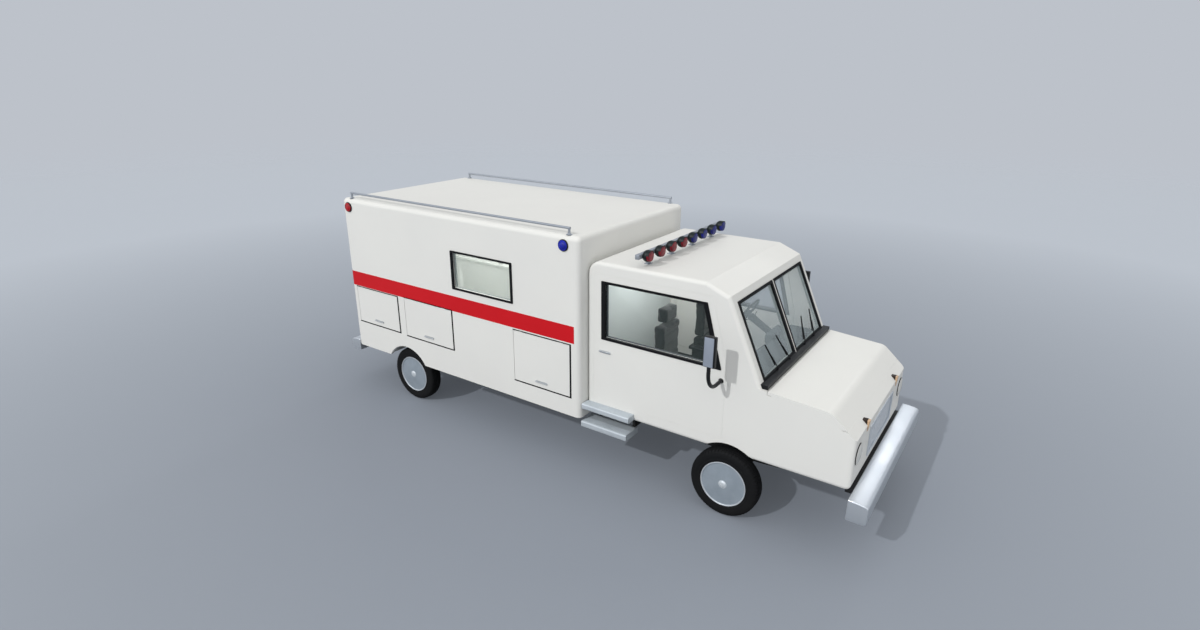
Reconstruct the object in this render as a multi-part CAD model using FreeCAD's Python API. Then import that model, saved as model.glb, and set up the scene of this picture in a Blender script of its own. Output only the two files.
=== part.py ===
"""Box-bodied ambulance on a ladder frame, with an all-panel cab.

Millimetres. +X is forward, +Y is the vehicle's left, +Z is up. The origin is on the ground, under the
middle of the overall length. The right-hand pieces are built first and mirrored for the left.
"""
import FreeCAD, Part
import math
import os

V = FreeCAD.Vector

# ---------------------------------------------------------------- driving dimensions
JOIN_X = 480.0              # plane where the cab meets the box
GAP = 6.0                   # clearance round every door and lid

BOX_LENGTH = 3940.0
BOX_HALF = 1150.0
BOX_BOTTOM = 618.0
BOX_TOP = 2733.0
BOX_WALL = 50.0
BOX_ROUND = 60.0
BOX_REAR = JOIN_X - BOX_LENGTH

CAB_HALF = 1000.0
CAB_WALL = 60.0
CAB_SKIN = 40.0
CAB_BOTTOM = 718.0
CAB_TOP = 2463.0
CAB_ROUND = 160.0           # rear upper corner, seen from the side
CAB_EDGE = 40.0             # small rounding along the side edges
NOSE_X = 3440.0
NOSE_ROUND = 50.0           # lower front edge
CREASE_ROUND = 130.0        # hood crease

HOOD_SKIN = 30.0
HOOD_REAR = 2577.0          # hinge line
HOOD_FRONT_Z = 1318.0       # the hood's lower edge, on the nose slope
HOOD_OPEN = 55.0

FRONT_AXLE_X = 2229.0
REAR_AXLE_X = -2426.0
TYRE_RADIUS = 375.0
TYRE_WIDTH = 176.0
TRACK_HALF = 987.0          # to the middle of the tyre
RIM_RADIUS = 254.0
ARCH_RADIUS = 410.0
ARCH_Z = 400.0
KINGPIN_Y = 840.0
SPINDLE_RADIUS = 30.0
KINGPIN_RADIUS = 20.0
RUNNING_FIT = 0.05

RAIL_OUT = 430.0
RAIL_IN = 360.0
RAIL_LOW = 448.0
RAIL_HIGH = 598.0
RAIL_WEB = 8.0

PROPSHAFT_RADIUS = 42.0
PROPSHAFT_ENDS = ((REAR_AXLE_X + 232.0, 0.0, 388.0), (1692.0, 0.0, 560.0))

# Leaf springs: axle x, half span, height of the ends, near and far y
SPRINGS = (
    (FRONT_AXLE_X, 600.0, 424.0, 370.0, 430.0),
    (REAR_AXLE_X, 620.0, 505.0, 470.0, 530.0),
)

FRONT_BUMPER_X = (3465.0, 3655.0)
REAR_BUMPER_X = (-3655.0, -3475.0)
REAR_BUMPER_TOP = 673.0
TOW_HOLE_RADIUS = 8.5
TOW_HOLE_PITCH = 80.0
TOW_HOLE_Z = 523.0
TOW_PLATES_X = (-3415.0, 3405.0)        # middle of each pair of tow-hook holes in the rails' webs

# Locker doors on each side: name, rear x, front x, lower z, upper z
LOCKERS = (
    ("rear", -3352.0, -2528.0, 1003.0, 1501.0),
    ("middle", -2383.0, -1510.0, 993.0, 1517.0),
    ("front", -480.0, 340.0, 858.0, 1491.0),
)
LOCKER_DEPTH = 450.0
LOCKER_LIP = 12.0
HATCH_THICKNESS = 45.0

# Side window of the box, outer edge of its frame: rear x, front x, lower z, upper z
BOX_WINDOW = (-1450.0, -466.0, 1818.0, 2308.0)
BOX_WINDOW_FRAME = 22.0
GLASS = 8.0

# Rear doorway: half width, lower z, upper z, and the window in each door
REAR_OPENING = (857.0, 702.0, 2520.0)
REAR_WINDOW = (210.0, 650.0, 1760.0, 2260.0)

# Cab door opening and its window, as corners (x, z) seen from the side
DOOR_OPENING = ((565.0, 850.0), (2152.0, 850.0), (2152.0, 1650.0), (1966.0, 2340.0), (565.0, 2340.0))
DOOR_WINDOW = ((669.0, 1596.0), (2097.0, 1595.0), (1906.0, 2264.0), (664.0, 2262.0))
DOOR_WINDOW_FRAME = 24.0

# Cab outline seen from the side, (x, z), from the lower rear corner round to the nose
CAB_OUTLINE = (
    (JOIN_X, CAB_BOTTOM), (JOIN_X, CAB_TOP), (1877.0, CAB_TOP), (2130.0, 2360.0),
    (2515.0, 1503.0), (3197.0, 1454.0), (NOSE_X, 1237.0), (NOSE_X, CAB_BOTTOM),
)
SCREEN_TOP, SCREEN_FOOT = 3, 4          # places of the windscreen's two creases in CAB_OUTLINE
SCREEN_SPAN = (104.0, 880.0)            # window opening, measured down the screen from its upper crease
SCREEN_PANE = (34.0, 866.0)             # inner and outer edge of each pane

GRILLE = (470.0, 831.0, 1165.0)         # half width, lower z, upper z of its frame
GRILLE_RIM = 14.0

LAMP_PITCH = 249.0
LAMP_RADIUS = 62.0
LAMP_X = (1108.0, 1192.0)
LAMP_Z = 2581.0
LAMP_COUNT = 8

RAIL_TUBE_RADIUS = 14.0
RAIL_TUBE_Z = 2804.0
RAIL_TUBE_Y = 1100.0
RAIL_POSTS_X = (-3300.0, 317.0)

STEP_BRACKETS_X = (600.0, 1048.0)
UPPER_STEP_Z = (731.0, 803.0)
LOWER_STEP_Z = (503.0, 580.0)

HINGE_RADIUS = 2.6
HINGE_LENGTH = 50.0

SIDES = (("right", -1.0), ("left", 1.0))


# ---------------------------------------------------------------- helpers
def block(x0, x1, y0, y1, z0, z1):
    """A box between two corners, given in any order."""
    low = V(min(x0, x1), min(y0, y1), min(z0, z1))
    return Part.makeBox(abs(x1 - x0), abs(y1 - y0), abs(z1 - z0), low)


def side_prism(points, y0, y1):
    """A prism whose outline (x, z) is seen from the side."""
    wire = Part.makePolygon([V(x, y0, z) for x, z in points] + [V(points[0][0], y0, points[0][1])])
    return Part.Face(wire).extrude(V(0, y1 - y0, 0))


def rod(start, end, radius):
    """A round bar from one point to another."""
    a, b = V(*start), V(*end)
    return Part.makeCylinder(radius, (b - a).Length, a, b - a)


def fused(shapes):
    """One solid from touching or overlapping shapes."""
    whole = shapes[0].multiFuse(list(shapes[1:])) if len(shapes) > 1 else shapes[0]
    return whole.removeSplitter()


def mirrored(shape):
    """The same shape on the other side of the vehicle."""
    return shape.mirror(V(0, 0, 0), V(0, 1, 0))


def both_sides(shape):
    """A right-hand shape with its left-hand twin."""
    return [shape, mirrored(shape)]


def inset(points, distance):
    """The outline moved inwards by the distance; the points run clockwise seen from -Y."""
    count = len(points)
    lines = []
    for i in range(count):
        (x0, z0), (x1, z1) = points[i], points[(i + 1) % count]
        length = math.hypot(x1 - x0, z1 - z0)
        nx, nz = (z1 - z0) / length, -(x1 - x0) / length
        lines.append((x0 + nx * distance, z0 + nz * distance, x1 - x0, z1 - z0))
    moved = []
    for i in range(count):
        x0, z0, dx0, dz0 = lines[i - 1]
        x1, z1, dx1, dz1 = lines[i]
        t = ((x1 - x0) * dz1 - (z1 - z0) * dx1) / (dx0 * dz1 - dz0 * dx1)
        moved.append((x0 + dx0 * t, z0 + dz0 * t))
    return moved


def rounded(shape, radius, wanted):
    """The shape with the edges picked by the test rounded."""
    edges = [edge for edge in shape.Edges if wanted(edge)]
    return shape.makeFillet(radius, edges)


def along(edge, axis):
    """True if the edge is straight and runs along the axis (0, 1 or 2)."""
    if edge.Curve.TypeId != "Part::GeomLine":
        return False
    run = edge.Vertexes[-1].Point - edge.Vertexes[0].Point
    return all(abs(run[i]) < 1e-6 for i in range(3) if i != axis)


def with_hinges(door, pivot, centres, axis, leaf):
    """The door with short hinge barrels on its axis, each held by a leaf that reaches back to the door.

    The pivot is a point on the axis, the centres are distances along it, and the leaf points at the door.
    """
    pieces = [door]
    along_axis, reach, out = V(*axis), V(*leaf), V(*axis).cross(V(*leaf))
    for centre in centres:
        start = V(*pivot) + along_axis * (centre - HINGE_LENGTH / 2)
        pieces.append(Part.makeCylinder(HINGE_RADIUS, HINGE_LENGTH, start, along_axis))
        corners = [start + out * side * HINGE_RADIUS * 0.8 for side in (-1.0, 1.0)]
        corners += [corner + reach * (GAP / 2 + 2.0) for corner in reversed(corners)]
        plate = Part.Face(Part.makePolygon(corners + corners[:1]))
        pieces.append(plate.extrude(along_axis * HINGE_LENGTH))
    return fused(pieces)


def export(name, shapes):
    """Write a node of one or more solids that don't touch."""
    shapes = shapes if isinstance(shapes, (list, tuple)) else [shapes]
    solids = [solid for shape in shapes for solid in shape.Solids]
    whole = solids[0] if len(solids) == 1 else Part.makeCompound(solids)
    if not whole.isValid():
        print("not valid:", name)
    whole.exportStep("parts/" + name + ".step")


def export_pair(stem, shape):
    """Write the right-hand piece and its mirrored left-hand twin."""
    export(stem + "_right", shape)
    export(stem + "_left", mirrored(shape))


# ---------------------------------------------------------------- box body
def box_shell():
    """The box's skin: walls and roof as one rounded shell, open below."""
    outer = block(BOX_REAR, JOIN_X, -BOX_HALF, BOX_HALF, BOX_BOTTOM, BOX_TOP)
    outer = rounded(outer, BOX_ROUND, lambda e: along(e, 2) or e.CenterOfMass.z > BOX_TOP - 1.0)
    hollow = block(BOX_REAR + BOX_WALL, JOIN_X - BOX_WALL, BOX_WALL - BOX_HALF, BOX_HALF - BOX_WALL,
                   BOX_BOTTOM, BOX_TOP - BOX_WALL)
    return outer.cut(hollow)


def box_panels():
    """Split the shell into its panels and cut their openings."""
    shell = box_shell()
    under_roof = BOX_TOP - BOX_WALL
    inner_y = BOX_HALF - BOX_WALL
    export("box_roof", shell.common(block(BOX_REAR, JOIN_X, -BOX_HALF, BOX_HALF, under_roof, BOX_TOP)))

    side = shell.common(block(BOX_REAR, JOIN_X, -BOX_HALF, -inner_y, BOX_BOTTOM, under_roof))
    cutters = [rod((REAR_AXLE_X, -BOX_HALF - 1, ARCH_Z), (REAR_AXLE_X, -inner_y + 1, ARCH_Z), ARCH_RADIUS)]
    for _, x0, x1, z0, z1 in LOCKERS:
        cutters.append(block(x0 - GAP, x1 + GAP, -BOX_HALF - 1, -inner_y + 1, z0 - GAP, z1 + GAP))
    cutters.append(window_hole())
    export_pair("box_side", side.cut(cutters))

    front = shell.common(block(JOIN_X - BOX_WALL, JOIN_X, -inner_y, inner_y, BOX_BOTTOM, under_roof))
    rear = shell.common(block(BOX_REAR, BOX_REAR + BOX_WALL, -inner_y, inner_y, BOX_BOTTOM, under_roof))
    half, low, high = REAR_OPENING
    doorway = block(BOX_REAR - 1, BOX_REAR + BOX_WALL + 1, -half, half, low, high)
    export("box_end_walls", [front, rear.cut(doorway)])


def window_hole():
    """The hole for the box's right side window."""
    x0, x1, z0, z1 = BOX_WINDOW
    f = BOX_WINDOW_FRAME
    return block(x0 + f, x1 - f, -BOX_HALF - 1, BOX_WALL - BOX_HALF + 1, z0 + f, z1 - f)


def box_glass():
    """One pane in each side window, in the middle of the wall."""
    middle = BOX_WALL / 2 - BOX_HALF
    pane = window_hole().common(block(BOX_REAR, JOIN_X, middle - GLASS / 2, middle + GLASS / 2,
                                      BOX_BOTTOM, BOX_TOP))
    export("box_window_glass", both_sides(pane))


def box_floor():
    """Floor slab with a hollow housing over each rear wheel."""
    thick = 50.0
    inner_y = BOX_HALF - BOX_WALL
    house_in, house_skin = 770.0, 20.0
    inside, outside = ARCH_RADIUS + 20.0, ARCH_RADIUS + 20.0 + house_skin
    floor = block(BOX_REAR + BOX_WALL, JOIN_X - BOX_WALL, -inner_y, inner_y, BOX_BOTTOM, BOX_BOTTOM + thick)
    domes, voids = [], []
    for _, side in SIDES:
        near, far = side * house_in, side * inner_y
        wall_y = near - side * house_skin
        domes.append(rod((REAR_AXLE_X, wall_y, ARCH_Z), (REAR_AXLE_X, far, ARCH_Z), outside))
        voids.append(rod((REAR_AXLE_X, near, ARCH_Z), (REAR_AXLE_X, far + side, ARCH_Z), inside))
    above = block(BOX_REAR, JOIN_X, -inner_y, inner_y, BOX_BOTTOM, BOX_TOP)
    domes = [dome.common(above) for dome in domes]
    export("box_floor", fused([floor] + domes).cut(voids))


def lockers():
    """Open lockers behind the lift-up doors, each a thick-walled tub."""
    front_y = BOX_WALL - BOX_HALF
    back_y = front_y + LOCKER_DEPTH
    rim = 20.0
    tubs = []
    for _, x0, x1, z0, z1 in LOCKERS:
        tub = block(x0 - rim, x1 + rim, front_y, back_y, z0 - rim, z1 + rim)
        lip = LOCKER_LIP
        tubs.append(tub.cut(block(x0 + lip, x1 - lip, front_y - 1, back_y - rim, z0 + lip, z1 - lip)))
    export("lockers", tubs + [mirrored(tub) for tub in tubs])


def locker_doors():
    """Lift-up doors, flush with the walls."""
    for name, x0, x1, z0, z1 in LOCKERS:
        door = block(x0, x1, -BOX_HALF, HATCH_THICKNESS - BOX_HALF, z0, z1)
        pivot = ((x0 + x1) / 2, -BOX_HALF, z1 + GAP / 2)
        export_pair(name + "_locker_door", with_hinges(door, pivot, (-300.0, 300.0), (1, 0, 0), (0, 0, -1)))


def rear_doors():
    """Two doors that meet in the middle, each with a window."""
    half, low, high = REAR_OPENING
    y0, y1, z0, z1 = REAR_WINDOW
    door = block(BOX_REAR, BOX_REAR + BOX_WALL, GAP - half, -GAP / 2, low + GAP, high - GAP)
    hole = block(BOX_REAR - 1, BOX_REAR + BOX_WALL + 1, -y1, -y0, z0, z1)
    pivot = (BOX_REAR, GAP / 2 - half, (low + high) / 2)
    export_pair("rear_door", with_hinges(door.cut(hole), pivot, (-700.0, 0.0, 700.0), (0, 0, 1), (0, 1, 0)))
    middle = BOX_REAR + BOX_WALL / 2
    pane = hole.common(block(middle - GLASS / 2, middle + GLASS / 2, -BOX_HALF, 0, BOX_BOTTOM, BOX_TOP))
    export_pair("rear_glass", pane)


def roof_rails():
    """A tube along each roof edge, on a post at each end."""
    rear_x, front_x = RAIL_POSTS_X
    rails = []
    for _, side in SIDES:
        y = side * RAIL_TUBE_Y
        tube = rod((rear_x - RAIL_TUBE_RADIUS, y, RAIL_TUBE_Z), (front_x + RAIL_TUBE_RADIUS, y, RAIL_TUBE_Z),
                   RAIL_TUBE_RADIUS)
        posts = [rod((x, y, BOX_TOP), (x, y, RAIL_TUBE_Z), RAIL_TUBE_RADIUS) for x in RAIL_POSTS_X]
        rails.append(fused([tube] + posts))
    export("roof_rails", rails)


def body_lamps():
    """Round lamps high on the box's sides, and upright tail lamps beside the rear doors."""
    radius, depth = 66.0, 34.0
    lamps = []
    for x, z in ((-3330.0, 2618.0), (275.0, 2622.0)):
        lamp = rod((x, -BOX_HALF, z), (x, -BOX_HALF - depth, z), radius)
        lamps += both_sides(rounded(lamp, 14.0, lambda e: e.CenterOfMass.y < -BOX_HALF - depth + 1.0))
    lamps += both_sides(block(BOX_REAR, BOX_REAR - 28.0, -1050.0, -940.0, 900.0, 1260.0))
    export("box_lamps", lamps)


# ---------------------------------------------------------------- cab
def cab_solid(points, half):
    """The cab's outline as a solid of the given half width."""
    return side_prism(points, -half, half)


def cab_shell():
    """Outer cab solid with its roundings, less the inner one."""
    outer = cab_solid(CAB_OUTLINE, CAB_HALF)
    outer = rounded(outer, CAB_ROUND, lambda e: along(e, 1) and abs(e.CenterOfMass.x - JOIN_X) < 1.0
                    and abs(e.CenterOfMass.z - CAB_TOP) < 1.0)
    outer = rounded(outer, NOSE_ROUND, lambda e: along(e, 1) and abs(e.CenterOfMass.x - NOSE_X) < 1.0
                    and abs(e.CenterOfMass.z - CAB_BOTTOM) < 1.0)
    outer = rounded(outer, CREASE_ROUND, lambda e: along(e, 1)
                    and math.dist((e.CenterOfMass.x, e.CenterOfMass.z), CAB_OUTLINE[5]) < 1.0)

    def side_edge(edge):
        centre = edge.CenterOfMass
        on_side = all(abs(abs(v.Point.y) - CAB_HALF) < 1e-6 for v in edge.Vertexes)
        return (on_side and not along(edge, 1) and centre.z > CAB_BOTTOM + 1.0 and centre.x > JOIN_X + 1.0
                and not 2515.0 < centre.x < NOSE_X - 1.0)

    outer = rounded(outer, CAB_EDGE, side_edge)
    hollow = cab_solid(inset(CAB_OUTLINE, CAB_SKIN), CAB_HALF - CAB_WALL)
    hollow_rear = block(JOIN_X - 1, JOIN_X + 60.0, CAB_WALL - CAB_HALF, CAB_HALF - CAB_WALL,
                        CAB_BOTTOM - 1, CAB_TOP - CAB_ROUND)
    hollow_low = block(JOIN_X - 1, NOSE_X - CAB_SKIN, CAB_WALL - CAB_HALF, CAB_HALF - CAB_WALL,
                       CAB_BOTTOM - 1, CAB_BOTTOM + CAB_SKIN + 1)
    corner = rod((JOIN_X + CAB_ROUND, CAB_WALL - CAB_HALF, CAB_TOP - CAB_ROUND),
                 (JOIN_X + CAB_ROUND, CAB_HALF - CAB_WALL, CAB_TOP - CAB_ROUND), CAB_ROUND - CAB_SKIN)
    keep = block(JOIN_X, JOIN_X + CAB_ROUND, -CAB_HALF, CAB_HALF, CAB_TOP - CAB_ROUND, CAB_TOP)
    hollow = hollow.cut(keep).fuse(corner.common(keep))
    return outer, outer.cut([hollow, hollow_rear, hollow_low])


def hood_region(depth, rear_x, front_z):
    """The space above the hood's underside, from the hinge line to its lower front edge."""
    lower = inset(CAB_OUTLINE, depth)
    foot, crease, nose = lower[4], lower[5], lower[6]
    slope = (nose[1] - crease[1]) / (nose[0] - crease[0])
    rear_z = foot[1] + (crease[1] - foot[1]) * (rear_x - foot[0]) / (crease[0] - foot[0])
    front_x = crease[0] + (front_z - crease[1]) / slope
    high = CAB_TOP
    return side_prism([(rear_x, rear_z), crease, (front_x, front_z), (NOSE_X + 50.0, front_z),
                       (NOSE_X + 50.0, high), (rear_x, high)], -CAB_HALF - 1, CAB_HALF + 1)


def screen_point(distance, depth=0.0):
    """A point (x, z) on the windscreen, measured down from its upper crease and inwards."""
    (x0, z0), (x1, z1) = CAB_OUTLINE[SCREEN_TOP], CAB_OUTLINE[SCREEN_FOOT]
    length = math.hypot(x1 - x0, z1 - z0)
    ux, uz = (x1 - x0) / length, (z1 - z0) / length
    return x0 + ux * distance + uz * depth, z0 + uz * distance - ux * depth


def screen_slab(near, far, depth0, depth1):
    """A slab parallel to the windscreen, over one right-hand pane's width."""
    top, foot = SCREEN_SPAN
    corners = [screen_point(top, depth0), screen_point(foot, depth0),
               screen_point(foot, depth1), screen_point(top, depth1)]
    return side_prism(corners, -far, -near)


def cab_panels():
    """Roof with windscreen surround, side panels, hood and nose, cut from one shell."""
    outer, shell = cab_shell()
    inner_y = CAB_HALF - CAB_WALL
    middle = block(JOIN_X, NOSE_X, -inner_y, inner_y, CAB_BOTTOM, CAB_TOP)

    panes = [screen_slab(*SCREEN_PANE, -20.0, CAB_SKIN + 20.0)]
    panes.append(mirrored(panes[0]))
    roof_zone = fused([block(JOIN_X, HOOD_REAR - GAP / 2, -inner_y, inner_y, 1440.0, CAB_TOP)])
    roof = shell.common(middle).common(roof_zone)
    behind = block(JOIN_X, JOIN_X + 60.0, -inner_y, inner_y, 1440.0, CAB_TOP - CAB_ROUND - 10.0)
    roof = roof.cut(panes + [behind])
    export("cab_roof", roof)

    side = outer.common(block(JOIN_X, NOSE_X, -CAB_HALF, -inner_y, CAB_BOTTOM, CAB_TOP))
    opening = side_prism(DOOR_OPENING, -CAB_HALF - 1, -inner_y + 1)
    arch = rod((FRONT_AXLE_X, -CAB_HALF - 1, ARCH_Z), (FRONT_AXLE_X, -inner_y + 1, ARCH_Z), ARCH_RADIUS)
    hood_space = hood_region(HOOD_SKIN + GAP, HOOD_REAR - GAP / 2, HOOD_FRONT_Z - GAP)
    export_pair("cab_side", side.cut([opening, arch, hood_space]))

    hood = outer.common(hood_region(HOOD_SKIN, HOOD_REAR + GAP / 2, HOOD_FRONT_Z))
    (foot_x, foot_z), (crease_x, crease_z) = CAB_OUTLINE[4], CAB_OUTLINE[5]
    hinge_z = foot_z + (crease_z - foot_z) * (HOOD_REAR - foot_x) / (crease_x - foot_x)
    export("hood", with_hinges(hood, (HOOD_REAR, 0.0, hinge_z), (-600.0, 600.0), (0, 1, 0), (1, 0, 0)))

    nose_zone = block(3250.0, NOSE_X, -inner_y, inner_y, CAB_BOTTOM, HOOD_FRONT_Z - GAP)
    nose = shell.common(nose_zone).cut([hood_space, grille_hole()])
    export("nose_panel", nose)

    glass = screen_slab(*SCREEN_PANE, CAB_SKIN / 2 - GLASS / 2, CAB_SKIN / 2 + GLASS / 2)
    export("windscreen_glass", both_sides(glass))


def grille_hole():
    """The hole in the nose behind the grille's frame."""
    half, low, high = GRILLE
    r = GRILLE_RIM
    return block(NOSE_X - 80.0, NOSE_X + 1, r - half, half - r, low + r, high - r)


def grille():
    """A mesh panel that fills the hole, in a raised frame."""
    half, low, high = GRILLE
    r = GRILLE_RIM
    plate = grille_hole().common(block(NOSE_X - 20.0, NOSE_X, -half, half, low, high))
    frame = block(NOSE_X, NOSE_X + 12.0, -half, half, low, high)
    frame = frame.cut(block(NOSE_X - 1, NOSE_X + 13.0, 2 * r - half, half - 2 * r, low + 2 * r, high - 2 * r))
    export("grille", fused([plate, frame]))


def front_lamps():
    """Round headlamps on the nose, and turn lamps on its upper crease."""
    lamps = []
    lamp = rod((NOSE_X, -855.0, 1053.0), (NOSE_X + 24.0, -855.0, 1053.0), 106.0)
    lamps += both_sides(rounded(lamp, 8.0, lambda e: e.CenterOfMass.x > NOSE_X + 23.0))
    turn_top, turn_foot, turn_front = 1286.0, 1170.0, 14.0
    (crease_x, crease_z), (nose_x, nose_z) = CAB_OUTLINE[5], CAB_OUTLINE[6]
    slope_x = nose_x - (turn_top - nose_z) * (nose_x - crease_x) / (crease_z - nose_z)
    turn = side_prism([(nose_x, turn_foot), (nose_x + turn_front, turn_top), (slope_x, turn_top),
                       (nose_x, nose_z)], -617.0, -563.0)
    lamps += both_sides(turn)
    export("front_lamps", lamps)


def cab_doors():
    """Doors with their windows cut, and the panes."""
    inner_y = CAB_HALF - CAB_WALL
    outline = inset(list(DOOR_OPENING)[::-1], GAP)
    hole = side_prism(inset(list(DOOR_WINDOW)[::-1], DOOR_WINDOW_FRAME), -CAB_HALF - 1, -inner_y + 1)
    door = side_prism(outline, -CAB_HALF, -inner_y).cut(hole)
    pivot = (DOOR_OPENING[1][0] - GAP / 2, -CAB_HALF, 1250.0)
    export_pair("cab_door", with_hinges(door, pivot, (-300.0, 300.0), (0, 0, 1), (-1, 0, 0)))
    middle = -CAB_HALF + CAB_WALL / 2
    export_pair("cab_glass", hole.common(block(JOIN_X, NOSE_X, middle - GLASS / 2, middle + GLASS / 2,
                                               CAB_BOTTOM, CAB_TOP)))


def cowl_bar():
    """The dark bar across the foot of the windscreen."""
    bar = block(2488.0, 2571.0, -976.0, 976.0, 1503.0, 1545.0)
    x, z = screen_point(0.0)
    foot_x, foot_z = CAB_OUTLINE[SCREEN_FOOT]
    behind = side_prism([(x, z), (foot_x, foot_z), (foot_x, foot_z - 80.0), (x - 200.0, foot_z - 80.0),
                         (x - 200.0, z)], -CAB_HALF, CAB_HALF)
    export("cowl_bar", bar.cut(behind))


def cab_floor():
    """Floor and bulkhead, with a round housing over each front wheel."""
    inner_y = CAB_HALF - CAB_WALL
    house_in, house_skin, house_radius = 620.0, 20.0, 480.0
    bulkhead = (2280.0, 2300.0)
    floor = block(JOIN_X, bulkhead[1], -inner_y, inner_y, CAB_BOTTOM, CAB_BOTTOM + 40.0)
    wall = block(*bulkhead, -inner_y, inner_y, CAB_BOTTOM, 1450.0)
    above = block(JOIN_X, NOSE_X, -inner_y, inner_y, CAB_BOTTOM, CAB_TOP)
    domes, voids = [], []
    for _, side in SIDES:
        near, far = side * house_in, side * inner_y
        dome = rod((FRONT_AXLE_X, near - side * house_skin, ARCH_Z), (FRONT_AXLE_X, far, ARCH_Z),
                   house_radius + house_skin)
        domes.append(dome.common(above))
        voids.append(rod((FRONT_AXLE_X, near, ARCH_Z), (FRONT_AXLE_X, far + side, ARCH_Z), house_radius))
    export("cab_floor", fused([floor, wall] + domes).cut(voids))


def cab_fittings():
    """Seats, dashboard with the steering column, and the steering wheel."""
    seat_y, half = 500.0, 225.0
    floor_z = CAB_BOTTOM + 40.0
    seat = fused([
        block(1110.0, 1480.0, -seat_y - 170.0, -seat_y + 170.0, floor_z, 1170.0),
        block(1080.0, 1560.0, -seat_y - half, -seat_y + half, 1170.0, 1290.0),
        side_prism([(1130.0, 1290.0), (1270.0, 1290.0), (1262.0, 1790.0), (1140.0, 1790.0)],
                   -seat_y - half, -seat_y + half),
        block(1140.0, 1262.0, -seat_y - 140.0, -seat_y + 140.0, 1790.0, 1950.0),
    ])
    export("cab_seats", both_sides(seat))

    hub = V(1730.0, seat_y, 1678.0)
    direction = V(-0.86, 0.0, 0.51).normalize()
    base = hub - direction * 420.0
    dash = side_prism([(2278.0, 1150.0), (2080.0, 1200.0), (2050.0, 1430.0), (2130.0, 1486.0),
                       (2400.0, 1486.0), (2400.0, 1452.0), (2278.0, 1452.0)], -930.0, 930.0)
    column = rod(tuple(base), tuple(hub - direction * 30.5), 28.0)
    export("dashboard", fused([dash, column]))

    ring = Part.makeTorus(200.0, 14.0, hub, direction)
    boss = rod(tuple(hub - direction * 30.0), tuple(hub + direction * 18.0), 45.0)
    across = V(0, 1, 0)
    down = direction.cross(across)
    spokes = [rod(tuple(hub), tuple(hub + arm * 200.0), 11.0) for arm in (across, across * -1.0, down)]
    export("steering_wheel", fused([ring, boss] + spokes))


def mirrors():
    """A door mirror: an upright head on a hooked tube arm."""
    radius = 20.0
    x, head_y, low_z, foot_z = 2100.0, -1313.0, 1756.0, 1489.0
    head = rounded(block(2050.0, 2170.0, -1350.0, -1290.0, low_z, 2065.0), 10.0, lambda e: along(e, 2))
    bend = 200.0
    drop = rod((x, head_y, low_z + 20.0), (x, head_y, foot_z + bend), radius)
    elbow = Part.makeTorus(bend, radius, V(x, head_y + bend, foot_z + bend), V(1, 0, 0))
    quarter = block(x - 50.0, x + 50.0, head_y - 50.0, head_y + bend, foot_z - 50.0, foot_z + bend)
    elbow = elbow.common(quarter)
    reach = rod((x, head_y + bend, foot_z), (x, -CAB_HALF, foot_z), radius)
    pad = rod((x, -CAB_HALF - 8.0, foot_z), (x, -CAB_HALF, foot_z), 26.0)
    export_pair("mirror", fused([head, drop, elbow, reach, pad]))


def light_bar():
    """Cross bar with eight round housings, and their lenses."""
    bar = block(1060.0, 1108.0, -985.0, 985.0, 2555.0, 2606.0)
    feet = [block(1066.0, 1102.0, y - 25.0, y + 25.0, CAB_TOP, 2555.0)
            for y in (-747.0, -249.0, 249.0, 747.0)]
    lens_x = LAMP_X[1] - 20.0
    places = [(i - (LAMP_COUNT - 1) / 2) * LAMP_PITCH for i in range(LAMP_COUNT)]
    shells = [rod((LAMP_X[0], y, LAMP_Z), (lens_x, y, LAMP_Z), LAMP_RADIUS) for y in places]
    export("light_bar", fused([bar] + feet + shells))
    lenses = [rounded(rod((lens_x, y, LAMP_Z), (LAMP_X[1], y, LAMP_Z), LAMP_RADIUS - 3.0), 8.0,
                      lambda e: e.CenterOfMass.x > LAMP_X[1] - 1.0) for y in places]
    export("light_bar_lenses", lenses)


# ---------------------------------------------------------------- chassis
def frame():
    """Ladder frame: two channel rails, crossmembers and the springs' hangers."""
    rear_x, front_x = REAR_BUMPER_X[1], FRONT_BUMPER_X[0]
    rail = block(rear_x, front_x, -RAIL_OUT, -RAIL_IN, RAIL_LOW, RAIL_HIGH)
    rail = rail.cut(block(rear_x - 1, front_x + 1, RAIL_WEB - RAIL_OUT, -RAIL_IN + 1,
                          RAIL_LOW + RAIL_WEB, RAIL_HIGH - RAIL_WEB))
    parts = both_sides(rail)
    web = RAIL_OUT - RAIL_WEB
    for x in (-3300.0, -1700.0, -600.0, 700.0, 1560.0, 3240.0):
        parts.append(block(x - 40.0, x + 40.0, -web, web, RAIL_LOW + RAIL_WEB, RAIL_HIGH - RAIL_WEB))
    for _, side in SIDES:
        for axle_x, reach, eye_z, near_y, far_y in SPRINGS:
            for end in (-reach, reach):
                parts.append(block(axle_x + end - 30.0, axle_x + end + 30.0, side * min(web, near_y),
                                   side * far_y, eye_z + 18.0, eye_z + 60.0))
    holes = [rod(*PROPSHAFT_ENDS, PROPSHAFT_RADIUS + 20.0)]
    for x in TOW_PLATES_X:
        for hole_x in (x - TOW_HOLE_PITCH / 2, x + TOW_HOLE_PITCH / 2):
            holes.append(rod((hole_x, -RAIL_OUT - 1, TOW_HOLE_Z), (hole_x, RAIL_OUT + 1, TOW_HOLE_Z),
                             TOW_HOLE_RADIUS))
    export("frame", fused(parts).cut(holes))


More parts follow.
